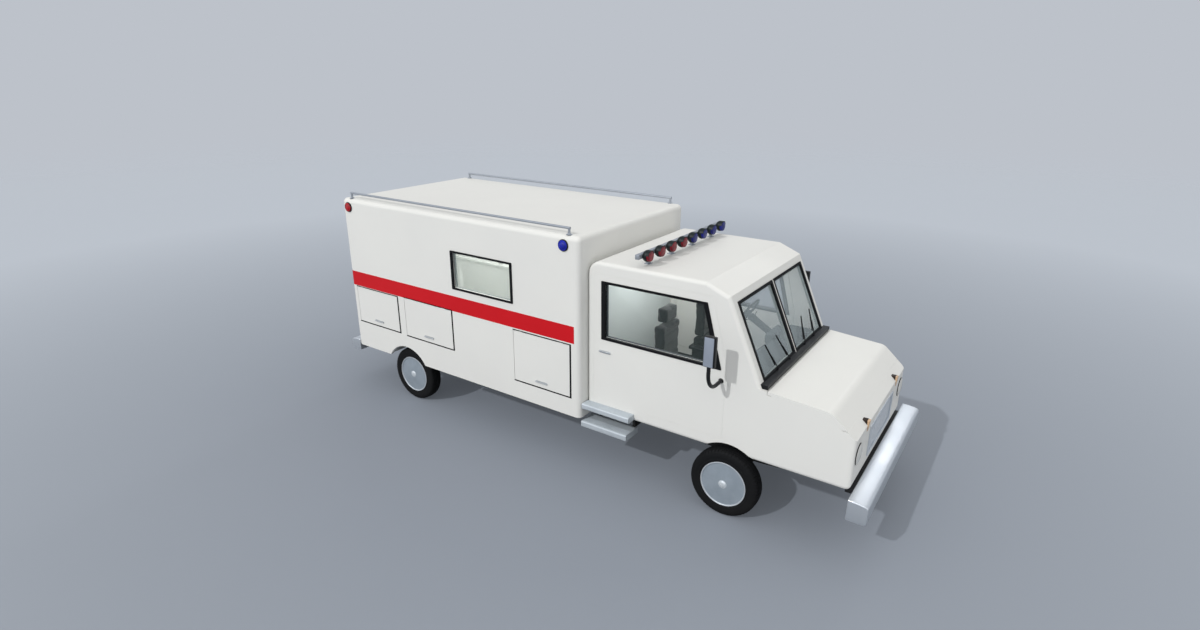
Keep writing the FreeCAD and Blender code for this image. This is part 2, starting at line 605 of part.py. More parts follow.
def body_mounts():
    """Sills under the box, blocks under the cab and nose, and the steps' brackets."""
    web = RAIL_OUT - RAIL_WEB
    sills = [block(x - 40.0, x + 40.0, -1060.0, 1060.0, RAIL_HIGH, BOX_BOTTOM)
             for x in (-3300.0, -1850.0, -1000.0, -200.0, 380.0)]
    nose = block(3340.0, NOSE_X - CAB_SKIN, -RAIL_OUT, RAIL_OUT, RAIL_HIGH, 800.0)
    valance = block(3390.0, FRONT_BUMPER_X[0] - 2.0, -950.0, 950.0, 676.0, CAB_BOTTOM - 3.0)
    nose = fused([nose, valance])
    sided = [block(x - 35.0, x + 35.0, -RAIL_OUT, -RAIL_IN, RAIL_HIGH, CAB_BOTTOM) for x in (760.0, 1500.0)]
    for x in STEP_BRACKETS_X:
        arm = block(x - 17.0, x + 17.0, -897.0, -RAIL_OUT, LOWER_STEP_Z[1], RAIL_HIGH + 20.0)
        post = block(x - 17.0, x + 17.0, -897.0, -850.0, LOWER_STEP_Z[1], CAB_BOTTOM)
        sided.append(fused([arm, post]))
    export("body_mounts", sills + [nose] + sided + [mirrored(piece) for piece in sided])


def leaf_spring(axle_x, reach, end_z, near_y, far_y, seat_z):
    """A right-hand spring pack: a curved bar that rests on the axle."""
    thick, y0, y1 = 36.0, -far_y, -near_y
    edges = []
    for lift in (0.0, thick):
        edges.append(Part.Arc(V(axle_x - reach, y0, end_z - thick / 2 + lift), V(axle_x, y0, seat_z + lift),
                              V(axle_x + reach, y0, end_z - thick / 2 + lift)).toShape())
    for end in (-reach, reach):
        low = V(axle_x + end, y0, end_z - thick / 2)
        edges.append(Part.makeLine(low, low + V(0, 0, thick)))
    wire = Part.Wire(Part.__sortEdges__(edges))
    return Part.Face(wire).extrude(V(0, y1 - y0, 0))


def front_axle():
    """A dropped beam with a boss for each kingpin, and its springs."""
    x = FRONT_AXLE_X
    boss_low, boss_high = 323.0, 427.0
    top = 347.0
    beam = block(x - 35.0, x + 35.0, -600.0, 600.0, top - 80.0, top)
    parts = [beam]
    for _, side in SIDES:
        parts.append(block(x - 60.0, x + 60.0, side * 360.0, side * 440.0, top - 20.0, top + 12.0))
        parts.append(axle_end(x, side))
        parts.append(rod((x, side * KINGPIN_Y, boss_low), (x, side * KINGPIN_Y, boss_high), 28.0))
    whole = fused(parts + [mirrored(leaf_spring(*SPRINGS[0], top)), leaf_spring(*SPRINGS[0], top)])
    bores = [rod((x, side * KINGPIN_Y, boss_low - 1), (x, side * KINGPIN_Y, boss_high + 1),
                 KINGPIN_RADIUS + RUNNING_FIT) for _, side in SIDES]
    export("front_axle", whole.cut(bores))


def axle_end(x, side):
    """The axle's rising end, from the beam up to the kingpin boss."""
    points = [(560.0, 267.0), (600.0, 267.0), (KINGPIN_Y - 10.0, 335.0), (KINGPIN_Y - 10.0, 415.0),
              (600.0, 347.0), (560.0, 347.0)]
    wire = Part.makePolygon([V(x - 26.0, side * y, z) for y, z in points + points[:1]])
    return Part.Face(wire).extrude(V(52.0, 0, 0))


def knuckles():
    """Forked steering knuckle with its kingpin and spindle."""
    x, y, z = FRONT_AXLE_X, -KINGPIN_Y, TYRE_RADIUS
    parts = [
        block(x - 35.0, x + 35.0, y - 52.0, y + 28.0, z + 53.0, z + 73.0),
        block(x - 35.0, x + 35.0, y - 52.0, y + 28.0, z - 73.0, z - 53.0),
        block(x - 35.0, x + 35.0, y - 52.0, y - 33.0, z - 73.0, z + 73.0),
        rod((x, y, z - 80.0), (x, y, z + 80.0), KINGPIN_RADIUS),
        rod((x, y - 45.0, z), (x, -TRACK_HALF - 45.0, z), SPINDLE_RADIUS),
    ]
    export_pair("knuckle", fused(parts))


def rear_axle():
    """Axle tube with its final drive, spindles and springs."""
    x, z = REAR_AXLE_X, TYRE_RADIUS
    tube = rod((x, -810.0, z), (x, 810.0, z), 60.0)
    spindle = rod((x, -TRACK_HALF - 45.0, z), (x, TRACK_HALF + 45.0, z), SPINDLE_RADIUS)
    drive = Part.makeSphere(165.0, V(x, 0, z))
    snout = rod((x, 0, z), (x + 230.0, 0, z + 12.0), 70.0)
    seats = [block(x - 70.0, x + 70.0, side * 460.0, side * 540.0, z, z + 74.0) for _, side in SIDES]
    springs = both_sides(leaf_spring(*SPRINGS[1], z + 62.0))
    export("rear_axle", fused([tube, spindle, drive, snout] + seats + springs))


def drive_line():
    """Engine with its gearbox as one block, propeller shaft, fuel tank and exhaust."""
    engine = block(2350.0, 3050.0, -300.0, 300.0, 480.0, 1150.0)
    gearbox = block(1700.0, 2350.0, -170.0, 170.0, 430.0, 700.0)
    export("engine", fused([engine, gearbox]))
    export("propshaft", rod(*PROPSHAFT_ENDS, PROPSHAFT_RADIUS))
    tank = block(-1300.0, -500.0, -745.0, -450.0, 366.0, 597.0)
    export("fuel_tank", rounded(tank, 50.0, lambda e: along(e, 0)))

    y, z, r = 620.0, 480.0, 30.0
    bend = 120.0
    pipe = rod((1650.0, y, z), (-1600.0, y, z), r)
    elbow = Part.makeTorus(bend, r, V(-1600.0, y + bend, z), V(0, 0, 1))
    elbow = elbow.common(block(-1600.0 - bend - r, -1600.0, y - r, y + bend, z - r, z + r))
    tail = rod((-1600.0 - bend, y + bend, z), (-1600.0 - bend, 1090.0, z), r)
    muffler = rounded(rod((-1100.0, y, z), (-400.0, y, z), 95.0), 20.0, lambda e: True)
    export("exhaust", fused([pipe, elbow, tail, muffler]))


def wheels():
    """Tyres and rims, which meet at the bead; each rim carries its hub."""
    for place, x in (("front", FRONT_AXLE_X), ("rear", REAR_AXLE_X)):
        export_pair("tyre_" + place, tyre(x))
        export_pair("rim_" + place, rim(x))


def turned(profile, x):
    """Revolve a closed profile of edges given as (offset outboard, radius) round a right-hand hub."""
    centre = V(x, -TRACK_HALF, TYRE_RADIUS)

    def at(point):
        return centre + V(0, -point[0], point[1])
    edges = []
    for segment in profile:
        if len(segment) == 3:
            edges.append(Part.Arc(*[at(p) for p in segment]).toShape())
        else:
            edges.append(Part.makeLine(at(segment[0]), at(segment[1])))
    return Part.Face(Part.Wire(edges)).revolve(centre, V(0, 1, 0), 360)


def tyre(x):
    """Tyre section: bead, bulging side walls, rounded shoulders and a slightly crowned tread."""
    half, top = TYRE_WIDTH / 2, TYRE_RADIUS
    bead, bead_w, shoulder_w = RIM_RADIUS - 12.0, 78.0, 62.0
    profile = [
        ((-bead_w, bead), (bead_w, bead)),
        ((bead_w, bead), (half, bead + 65.0), (half - 8.0, top - 28.0)),
        ((half - 8.0, top - 28.0), (half - 14.0, top - 10.0), (shoulder_w, top - 3.0)),
        ((shoulder_w, top - 3.0), (0.0, top), (-shoulder_w, top - 3.0)),
        ((-shoulder_w, top - 3.0), (14.0 - half, top - 10.0), (8.0 - half, top - 28.0)),
        ((8.0 - half, top - 28.0), (-half, bead + 65.0), (-bead_w, bead)),
    ]
    return turned(profile, x)


def rim(x):
    """Barrel, disc, hub and centre cap, with a blind bore for the spindle."""
    out, thick = RIM_RADIUS - 12.0, 10.0
    bore = SPINDLE_RADIUS + RUNNING_FIT
    points = [
        (-76.0, out), (82.0, out), (82.0, out - thick), (76.0, out - thick), (80.0, 90.0), (84.0, 84.0),
        (88.0, 36.0), (96.0, 30.0), (98.0, 0.0), (50.0, 0.0), (50.0, bore), (-60.0, bore), (-60.0, 72.0),
        (50.0, 80.0), (58.0, out - thick), (-76.0, out - thick),
    ]
    return turned([(points[i], points[(i + 1) % len(points)]) for i in range(len(points))], x)


def bumpers_and_steps():
    """Bright bumpers and the two-level step on each side of the cab."""
    def bumper(xs, half, z0, z1, radius, inner_radius):
        """A bar with rounded edges, the outer ones by the larger radius."""
        bar = block(*xs, -half, half, z0, z1)
        outside = max(xs, key=abs)
        bar = rounded(bar, radius, lambda e: along(e, 1) and abs(e.CenterOfMass.x - outside) < 1.0)
        return rounded(bar, inner_radius, lambda e: along(e, 1) and min(
            abs(e.CenterOfMass.x - x) for x in xs if x != outside) < 1.0)
    export("bumpers", [bumper(FRONT_BUMPER_X, BOX_HALF, 513.0, 730.0, 28.0, 12.0),
                       bumper(REAR_BUMPER_X, 1130.0, 498.0, REAR_BUMPER_TOP, 25.0, 12.0)])
    steps = [
        block(JOIN_X + 4.0, 1105.0, -1120.0, -CAB_HALF, *UPPER_STEP_Z),
        block(JOIN_X - 4.0, 1080.0, -1120.0, -865.0, *LOWER_STEP_Z),
    ]
    steps = [rounded(step, 20.0, lambda e: along(e, 0) and e.CenterOfMass.y < -1110.0) for step in steps]
    export("side_steps", steps + [mirrored(step) for step in steps])


def main():
    """Write every node."""
    os.makedirs("parts", exist_ok=True)
    for build in (box_panels, box_glass, box_floor, lockers, locker_doors, rear_doors, roof_rails, body_lamps,
                  cab_panels, cowl_bar, grille, front_lamps, cab_doors, cab_floor, cab_fittings, mirrors,
                  light_bar, frame, body_mounts, front_axle, knuckles, rear_axle, drive_line, wheels,
                  bumpers_and_steps):
        build()


main()
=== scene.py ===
"""Looks of a box-bodied ambulance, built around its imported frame.

Metres, in the frame's own axes: +X is forward, +Y is the vehicle's left, +Z is up, and the ground is Z = 0.
"""
import logging
import math
from collections.abc import Sequence
from dataclasses import dataclass
from enum import Enum
from itertools import product

import bmesh
import bpy
from mathutils import Matrix, Vector


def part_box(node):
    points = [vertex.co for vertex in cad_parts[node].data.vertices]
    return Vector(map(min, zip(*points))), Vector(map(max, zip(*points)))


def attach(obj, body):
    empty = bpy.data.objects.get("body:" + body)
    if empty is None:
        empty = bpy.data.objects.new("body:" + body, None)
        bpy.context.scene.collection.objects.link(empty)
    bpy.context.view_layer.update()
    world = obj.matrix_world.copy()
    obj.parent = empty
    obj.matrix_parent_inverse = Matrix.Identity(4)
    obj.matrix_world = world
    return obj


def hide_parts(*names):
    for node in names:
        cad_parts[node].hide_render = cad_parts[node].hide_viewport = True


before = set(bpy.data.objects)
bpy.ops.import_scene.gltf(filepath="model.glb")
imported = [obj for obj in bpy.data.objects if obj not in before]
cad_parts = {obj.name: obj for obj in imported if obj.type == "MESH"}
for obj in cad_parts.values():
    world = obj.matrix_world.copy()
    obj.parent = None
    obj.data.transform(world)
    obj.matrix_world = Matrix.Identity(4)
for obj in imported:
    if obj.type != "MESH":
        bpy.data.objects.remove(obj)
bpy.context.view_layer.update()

LOG = logging.getLogger("ambulance")
Point = tuple[float, float]
Spot = tuple[float, float, float]
Span = tuple[float, float, float, float]
Colour = tuple[int, int, int]


class Side(Enum):
    """A side of the vehicle. The value is the sign of its Y."""

    RIGHT = -1
    LEFT = 1

    @property
    def label(self) -> str:
        """The side's name as the frame's nodes spell it."""
        return self.name.lower()

    def y(self, distance: float) -> float:
        """The Y that lies this far out on the side."""
        return self.value * distance


# ---- node trees
Socket = bpy.types.NodeSocket
Pair = tuple[Socket, Socket]


class Graph:
    """A node tree with short ways to add and join nodes."""

    def __init__(self, tree: bpy.types.NodeTree) -> None:
        """Keep the node tree that nodes go into."""
        self.tree = tree

    def add(self, kind: str, sockets: dict | None = None, **settings: object) -> bpy.types.Node:
        """Add a node.

        Args:
            kind: Blender's name of the node, without "ShaderNode".
            sockets: Values or sockets for its inputs, by name or place.
            **settings: The node's own settings.

        Returns:
            The node.
        """
        node = self.tree.nodes.new(kind if kind.startswith("NodeGroup") else "ShaderNode" + kind)
        for key, value in settings.items():
            setattr(node, key, value)
        return self.feed(node, sockets or {})

    def feed(self, node: bpy.types.Node, sockets: dict) -> bpy.types.Node:
        """Set or join a node's inputs.

        Args:
            node: The node.
            sockets: Values or sockets for its inputs, by name or place.

        Returns:
            The node.
        """
        for key, value in sockets.items():
            if isinstance(value, Socket):
                self.tree.links.new(value, node.inputs[key])
            else:
                node.inputs[key].default_value = value
        return node

    def maths(self, operation: str, *values: "float | Socket") -> Socket:
        """The result of a Math node on these values."""
        return self.add("Math", dict(enumerate(values)), operation=operation).outputs[0]

    def mix(self, share: "float | Socket", first: object, second: object) -> Socket:
        """Two colours mixed, with this share of the second."""
        return self.add("Mix", {0: share, 6: first, 7: second}, data_type="RGBA").outputs[2]

    def place(self) -> Socket:
        """Where the surface is, in the piece's own coordinates."""
        return self.add("TexCoord").outputs["Object"]


class Effect(Enum):
    """A surface effect that several finishes share. The value is its node group's name."""

    DRIFT = "tone_drift"
    FILM = "road_film"
    RUB = "rubbed_edges"
    GRAIN = "fine_grain"
    WEAVE = "cloth_weave"
    RIBS = "lens_ribs"


class EffectLibrary:
    """Builds each effect's node group once, and places it in materials."""

    INPUTS = {
        Effect.DRIFT: (("Colour", "Color"), ("Second", "Color"), ("Scale", "Float"), ("Amount", "Float")),
        Effect.FILM: (("Colour", "Color"), ("Film", "Color"), ("Height", "Float"), ("Amount", "Float")),
        Effect.RUB: (("Colour", "Color"), ("Bare", "Color"), ("Radius", "Float"), ("Amount", "Float")),
        Effect.GRAIN: (("Scale", "Float"), ("Stretch", "Vector")),
        Effect.WEAVE: (("Scale", "Float"),),
        Effect.RIBS: (("Scale", "Float"),),
    }

    def __init__(self) -> None:
        """Start with no group built."""
        self.built: dict[Effect, bpy.types.NodeTree] = {}

    def place(self, graph: Graph, effect: Effect, **values: object) -> bpy.types.Node:
        """Place an effect in a material.

        Args:
            graph: The material's graph.
            effect: Which effect.
            **values: Values or sockets for its inputs.

        Returns:
            The group's node, with its outputs.
        """
        if effect not in self.built:
            self.built[effect] = self._build(effect)
        return graph.add("Group", values, node_tree=self.built[effect])

    def _build(self, effect: Effect) -> bpy.types.NodeTree:
        """Build an effect's group with its named sockets.

        Args:
            effect: Which effect.

        Returns:
            The node group.
        """
        tree = bpy.data.node_groups.new(effect.value, "ShaderNodeTree")
        takes = self.INPUTS[effect]
        gives = (("Colour", "Color") if takes[0][1] == "Color" else ("Height", "Float"), ("Mask", "Float"))
        for way, sockets in (("INPUT", takes), ("OUTPUT", gives)):
            for name, kind in sockets:
                tree.interface.new_socket(name, in_out=way, socket_type="NodeSocket" + kind)
        graph = Graph(tree)
        inputs = graph.add("NodeGroupInput").outputs
        first, mask = getattr(Recipes(graph, inputs), effect.value)()
        graph.add("NodeGroupOutput", {0: first, 1: mask})
        return tree


@dataclass(frozen=True)
class Recipes:
    """Fills an effect's group, from its inputs to what it gives. Each method has its group's name."""

    graph: Graph
    inputs: bpy.types.NodeOutputs

    def tone_drift(self) -> Pair:
        """Slow change between two tones.

        Returns:
            The colour and its mask.
        """
        graph, inputs = self.graph, self.inputs
        noise = graph.add("TexNoise", {"Vector": graph.place(), "Scale": inputs["Scale"], "Detail": 4.0})
        spread = graph.add("MapRange", {0: noise.outputs[0], 1: 0.35, 2: 0.65})
        mask = graph.maths("MULTIPLY", spread.outputs[0], inputs["Amount"])
        return graph.mix(mask, inputs["Colour"], inputs["Second"]), mask

    def road_film(self) -> Pair:
        """Dust that thins out towards a height.

        Returns:
            The colour and its mask.
        """
        graph, inputs, place = self.graph, self.inputs, self.graph.place()
        height = graph.add("SeparateXYZ", {0: place}).outputs["Z"]
        fade = graph.add("MapRange", {0: height, 1: 0.25, 2: inputs["Height"], 3: 1.0, 4: 0.0})
        noise = graph.add("TexNoise", {"Vector": place, "Scale": 7.0, "Detail": 6.0, "Roughness": 0.65})
        cloud = graph.maths("MULTIPLY", fade.outputs[0], noise.outputs[0])
        mask = graph.maths("MULTIPLY", cloud, inputs["Amount"])
        return graph.mix(mask, inputs["Colour"], inputs["Film"]), mask

    def rubbed_edges(self) -> Pair:
        """Bare edges where the surface turns.

        Returns:
            The colour and its mask.
        """
        graph, inputs = self.graph, self.inputs
        soft = graph.add("Bevel", {"Radius": inputs["Radius"]}, samples=4)
        sharp = graph.add("NewGeometry").outputs["Normal"]
        turn = graph.add("VectorMath", {0: soft.outputs[0], 1: sharp}, operation="DOT_PRODUCT")
        noise = graph.add("TexNoise", {"Vector": graph.place(), "Scale": 60.0, "Detail": 5.0})
        edge = graph.add("MapRange", {0: turn.outputs["Value"], 1: 0.99, 2: 0.80, 3: 0.0, 4: 1.0})
        mask = graph.maths("MULTIPLY", edge.outputs[0], noise.outputs[0])
        mask = graph.maths("MULTIPLY", mask, inputs["Amount"])
        return graph.mix(mask, inputs["Colour"], inputs["Bare"]), mask

    def fine_grain(self) -> Pair:
        """Fine grain, drawn out along an axis by the stretch.

        Returns:
            The height and its mask.
        """
        graph, inputs = self.graph, self.inputs
        place = graph.add("VectorMath", {0: graph.place(), 1: inputs["Stretch"]}, operation="MULTIPLY")
        noise = graph.add("TexNoise", {"Vector": place.outputs[0], "Scale": inputs["Scale"], "Detail": 3.0})
        return noise.outputs[0], noise.outputs[0]

    def cloth_weave(self) -> Pair:
        """Crossed threads.

        Returns:
            The height and its mask.
        """
        graph = self.graph
        place = graph.add("SeparateXYZ", {0: graph.place()}).outputs
        waves = []
        for axis in ("X", "Y", "Z"):
            phase = graph.maths("MULTIPLY", place[axis], self.inputs["Scale"])
            waves.append(graph.maths("ABSOLUTE", graph.maths("SINE", phase)))
        height = graph.maths("MAXIMUM", graph.maths("MULTIPLY", waves[0], waves[1]), waves[2])
        return height, height

    def lens_ribs(self) -> Pair:
        """Upright ribs inside a lens.

        Returns:
            The height and its mask.
        """
        graph = self.graph
        place = graph.add("SeparateXYZ", {0: graph.place()}).outputs
        along = graph.maths("ADD", place["X"], place["Y"])
        height = graph.maths("SINE", graph.maths("MULTIPLY", along, self.inputs["Scale"]))
        return height, height


EFFECTS = EffectLibrary()


def linear(colour: Colour) -> Span:
    """A display colour of three 0-255 values as the shader's linear colour."""
    shares = [value / 255.0 for value in colour]
    return (*(share / 12.92 if share <= 0.04045 else ((share + 0.055) / 1.055) ** 2.4 for share in shares), 1.0)


def shaded(name: str) -> tuple[bpy.types.Material, Graph, bpy.types.Node]:
    """A new material with its graph and its shader.

    Args:
        name: The material's name.

    Returns:
        The material, its graph and its shader.
    """
    made = bpy.data.materials.new(name)
    made.use_nodes = True
    return made, Graph(made.node_tree), made.node_tree.nodes["Principled BSDF"]


def placed(name: str, data: bpy.types.ID) -> bpy.types.Object:
    """A new object of the scene that shows this data.

    Args:
        name: The object's name.
        data: What it shows.

    Returns:
        The object.
    """
    made = bpy.data.objects.new(name, data)
    bpy.context.scene.collection.objects.link(made)
    return made


def settled(made: bpy.types.Object) -> bpy.types.Mesh:
    """An object's mesh with its modifiers applied.

    Args:
        made: The object, which is removed with its own mesh.

    Returns:
        The new mesh.
    """
    graph, data = bpy.context.evaluated_depsgraph_get(), made.data
    result = bpy.data.meshes.new_from_object(made.evaluated_get(graph))
    bpy.data.objects.remove(made)
    bpy.data.meshes.remove(data)
    return result


# ---- finishes
DUST = (126, 118, 106)
BARE_RADIUS = 0.006
COAT_ROUGHNESS = 0.06
BUMP_DISTANCE = 0.001
SHEEN = 0.25


@dataclass(frozen=True)
class Finish:
    """An opaque surface: its colour and gloss, and the unevenness that breaks both up."""

    name: str
    slot: str
    colour: Colour
    second: Colour
    roughness: float
    metallic: float = 0.0
    coat: float = 0.0
    drift: float = 0.5
    drift_scale: float = 2.0
    film: float = 0.0
    film_top: float = 1.1
    rub: float = 0.0
    bare: Colour = (205, 207, 210)
    grain_scale: float = 900.0
    grain_stretch: Spot = (1.0, 1.0, 1.0)
    grain_depth: float = 0.04
    uneven: float = 0.10
    specular: float = 0.5

    def material(self) -> bpy.types.Material:
        """The finish's material, made the first time it is asked for.

        Returns:
            The material.
        """
        label = self.name + "_finish"
        found = bpy.data.materials.get(label)
        if found:
            return found
        made, graph, shader = shaded(label)
        graph.feed(shader, {"Metallic": self.metallic, "Coat Weight": self.coat, "Coat Roughness": COAT_ROUGHNESS,
                            "Specular IOR Level": self.specular})
        self.dress(graph, shader)
        return made

    def dress(self, graph: Graph, shader: bpy.types.Node) -> None:
        """Join the effects to the shader.

        Args:
            graph: The material's graph.
            shader: Its Principled BSDF.
        """
        colour, mask = self.tones(graph)
        rough = graph.maths("MULTIPLY_ADD", mask, self.uneven, self.roughness)
        bump = graph.add("Bump", {"Strength": self.grain_depth, "Distance": BUMP_DISTANCE,
                                  "Height": self.relief(graph)})
        graph.feed(shader, {"Base Color": colour, "Roughness": rough, "Normal": bump.outputs[0]})

    def tones(self, graph: Graph) -> Pair:
        """The colour with its drift, film and rubbed edges.

        Args:
            graph: The material's graph.

        Returns:
            The colour, and a mask of where it is changed.
        """
        node = EFFECTS.place(graph, Effect.DRIFT, Colour=linear(self.colour), Second=linear(self.second),
                             Scale=self.drift_scale, Amount=self.drift)
        colour, mask = node.outputs
        for effect, amount, values in (
                (Effect.FILM, self.film, {"Film": linear(DUST), "Height": self.film_top}),
                (Effect.RUB, self.rub, {"Bare": linear(self.bare), "Radius": BARE_RADIUS})):
            if amount:
                node = EFFECTS.place(graph, effect, Colour=colour, Amount=amount, **values)
                colour, mask = node.outputs[0], graph.maths("MAXIMUM", mask, node.outputs[1])
        return colour, mask

    def relief(self, graph: Graph) -> Socket:
        """The height that the surface's bump follows."""
        return EFFECTS.place(graph, Effect.GRAIN, Scale=self.grain_scale,
                             Stretch=self.grain_stretch).outputs["Height"]


@dataclass(frozen=True)
class GlassFinish(Finish):
    """Tinted glass that lets part of the inside show."""

    opacity: float = 0.5
    drift_scale: float = 1.6
    grain_depth: float = 0.0
    uneven: float = 0.06
    specular: float = 0.3

    def dress(self, graph: Graph, shader: bpy.types.Node) -> None:
        """Set how much the glass hides, then join its faint smears."""
        shader.inputs["Alpha"].default_value = self.opacity
        super().dress(graph, shader)


@dataclass(frozen=True)
class LensFinish(Finish):
    """A coloured lamp lens with ribs moulded inside."""

    rib_scale: float = 420.0
    glow: float = 0.0
    coat: float = 0.2
    drift: float = 0.9
    drift_scale: float = 30.0
    grain_depth: float = 0.5
    specular: float = 0.3

    def dress(self, graph: Graph, shader: bpy.types.Node) -> None:
        """Join the effects, and let the lens glow a little of its own colour.

        Args:
            graph: The material's graph.
            shader: Its Principled BSDF.
        """
        super().dress(graph, shader)
        if self.glow:
            graph.feed(shader, {"Emission Color": self.tones(graph)[0], "Emission Strength": self.glow})

    def relief(self, graph: Graph) -> Socket:
        """The ribs' height."""
        return EFFECTS.place(graph, Effect.RIBS, Scale=self.rib_scale).outputs["Height"]


@dataclass(frozen=True)
class ClothFinish(Finish):
    """Woven seat cloth."""

    thread_scale: float = 1600.0

    def dress(self, graph: Graph, shader: bpy.types.Node) -> None:
        """Add a sheen to the joined effects."""
        shader.inputs["Sheen Weight"].default_value = SHEEN
        super().dress(graph, shader)

    def relief(self, graph: Graph) -> Socket:
        """The threads' height."""
        return EFFECTS.place(graph, Effect.WEAVE, Scale=self.thread_scale).outputs["Height"]


WHITE = Finish("white_enamel", "body_paint", (224, 224, 220), (219, 219, 216), 0.52, coat=0.04, drift=0.6,
               drift_scale=0.9, film=0.06, grain_scale=260.0, grain_depth=0.012, specular=0.2)
RED_VINYL = Finish("red_vinyl", "body_paint", (200, 16, 28), (188, 14, 26), 0.5, drift_scale=1.3,
                   film=0.04, grain_scale=300.0, grain_depth=0.02, specular=0.2)
LINING = Finish("wall_lining", "liner", (214, 217, 214), (206, 210, 207), 0.55, drift_scale=1.5)
CAB_LINING = Finish("cab_lining", "liner", (204, 211, 210), (198, 205, 205), 0.6, drift_scale=1.5)
LOCKER_LINING = Finish("locker_lining", "rail_grey", (212, 215, 212), (202, 206, 204), 0.5, drift_scale=2.0,
                       grain_stretch=(0.02, 1.0, 1.0), grain_depth=0.05)
CHASSIS_BLACK = Finish("chassis_black", "chassis_black", (22, 23, 25), (32, 31, 30), 0.6, drift_scale=6.0,
                       film=0.25, film_top=0.7, rub=0.25, bare=(80, 78, 76), specular=0.3)
DARK_STEEL = Finish("dark_steel", "dark_steel", (54, 54, 57), (72, 64, 56), 0.5, metallic=0.8, drift=0.7,
                    drift_scale=9.0, film=0.3, grain_depth=0.2)
POLISHED = Finish("polished_metal", "bright_metal", (216, 221, 226), (202, 209, 216), 0.36, metallic=0.8,
                  drift_scale=3.0, film=0.08, film_top=0.8, rub=0.5, bare=(240, 242, 244),
                  grain_scale=500.0, grain_stretch=(1.0, 0.03, 1.0), grain_depth=0.03)
STEP_METAL = Finish("step_metal", "bright_metal", (190, 198, 204), (174, 183, 190), 0.5, metallic=0.25,
                    drift_scale=5.0, film=0.12, film_top=0.9, rub=0.4, bare=(236, 238, 240),
                    grain_scale=500.0, grain_stretch=(0.04, 1.0, 1.0), grain_depth=0.05)
RAIL_GREY = Finish("rail_grey", "rail_grey", (160, 166, 174), (146, 152, 160), 0.38, metallic=0.5,
                   drift_scale=4.0, grain_stretch=(0.03, 1.0, 1.0), grain_depth=0.04)
HUB_METAL = Finish("hub_metal", "wheel_paint", (232, 237, 240), (196, 205, 212), 0.38, metallic=0.45, drift=0.9,
                   drift_scale=60.0, grain_depth=0.03)
CHROME = Finish("chrome", "bright_metal", (222, 225, 228), (210, 214, 218), 0.16, metallic=0.95,
                drift=0.3, grain_depth=0.01)
HANDLE_METAL = Finish("handle_metal", "bright_metal", (196, 200, 203), (182, 187, 190), 0.34, metallic=0.5,
                      drift_scale=30.0, grain_depth=0.03)
WHEEL_DISC = Finish("wheel_disc", "wheel_paint", (160, 171, 181), (136, 148, 159), 0.42, metallic=0.35,
                    drift=0.4, drift_scale=10.0, film=0.08, film_top=0.8, grain_scale=700.0)
WHEEL_LIP = Finish("wheel_lip", "wheel_paint", (190, 196, 202), (176, 183, 190), 0.46, metallic=0.3,
                   drift_scale=20.0, film=0.08, film_top=0.8, rub=0.4)
TYRE_RUBBER = Finish("tyre_rubber", "tyre", (10, 11, 13), (16, 17, 19), 0.72, drift_scale=9.0, film=0.02,
                     film_top=0.6, grain_scale=1400.0, grain_depth=0.2, specular=0.2)
BLACK_RUBBER = Finish("black_rubber", "black_plastic", (12, 13, 16), (19, 20, 23), 0.6, drift_scale=8.0,
                      grain_scale=1200.0, grain_depth=0.1, specular=0.15)
BLACK_PLASTIC = Finish("black_plastic", "black_plastic", (17, 18, 21), (26, 27, 30), 0.42, drift_scale=7.0,
                       grain_scale=1600.0, grain_depth=0.15, specular=0.3)
DASH_PLASTIC = Finish("dash_plastic", "black_plastic", (56, 60, 66), (46, 50, 56), 0.7, drift_scale=5.0,
                      grain_scale=1500.0, grain_depth=0.3, specular=0.3)
LAMP_BROWN = Finish("lamp_brown", "black_plastic", (46, 34, 26), (30, 22, 18), 0.5, drift_scale=16.0,
                    grain_scale=900.0, specular=0.2)
LAMP_BODY = Finish("lamp_body", "black_plastic", (12, 24, 24), (20, 28, 29), 0.4, drift_scale=12.0,
                   grain_scale=900.0, specular=0.3)
MIRROR_FACE = Finish("mirror_face", "bright_metal", (158, 166, 179), (142, 151, 166), 0.22, metallic=0.25,
                     drift_scale=4.0, grain_depth=0.01)
SEAL_GREY = Finish("seal_grey", "liner", (142, 150, 150), (128, 136, 137), 0.7, drift_scale=8.0,
                   grain_scale=1200.0, grain_depth=0.1, specular=0.2)
GRILLE_GREY = Finish("grille_grey", "grille_grey", (206, 212, 219), (188, 195, 203), 0.45, metallic=0.2,
                     drift_scale=12.0, film=0.1)
GRILLE_DARK = Finish("grille_dark", "grille_grey", (150, 157, 167), (134, 141, 152), 0.6, drift_scale=10.0)
SEAT_CLOTH = ClothFinish("seat_cloth", "seat_cloth", (20, 22, 25), (15, 17, 20), 0.9, drift_scale=14.0,
                         grain_depth=0.5, specular=0.2)
GLASS = GlassFinish("window_glass", "window_glass", (150, 168, 166), (136, 155, 154), 0.05, opacity=0.045)
SCREEN_GLASS = GlassFinish("screen_glass", "window_glass", (184, 196, 200), (172, 185, 190), 0.05, opacity=0.32)
LAMP_GLASS = GlassFinish("lamp_glass", "lamp_front", (228, 229, 226), (220, 222, 220), 0.15, drift_scale=9.0,
                         uneven=0.10, opacity=0.8)
LENS_RED = LensFinish("lens_red", "lamp_red", (176, 10, 26), (120, 6, 18), 0.3, coat=0.25, drift_scale=26.0,
                      glow=0.10)
LENS_BLUE = LensFinish("lens_blue", "lamp_red", (12, 34, 176), (6, 20, 128), 0.3, coat=0.25, drift_scale=26.0,
                       glow=0.10)
LENS_WINE = LensFinish("lens_dark_red", "lamp_red", (128, 10, 30), (78, 6, 20), 0.32, glow=0.04, specular=0.25)
LENS_NAVY = LensFinish("lens_dark_blue", "lamp_red", (18, 28, 120), (10, 16, 76), 0.32, glow=0.04, specular=0.25)
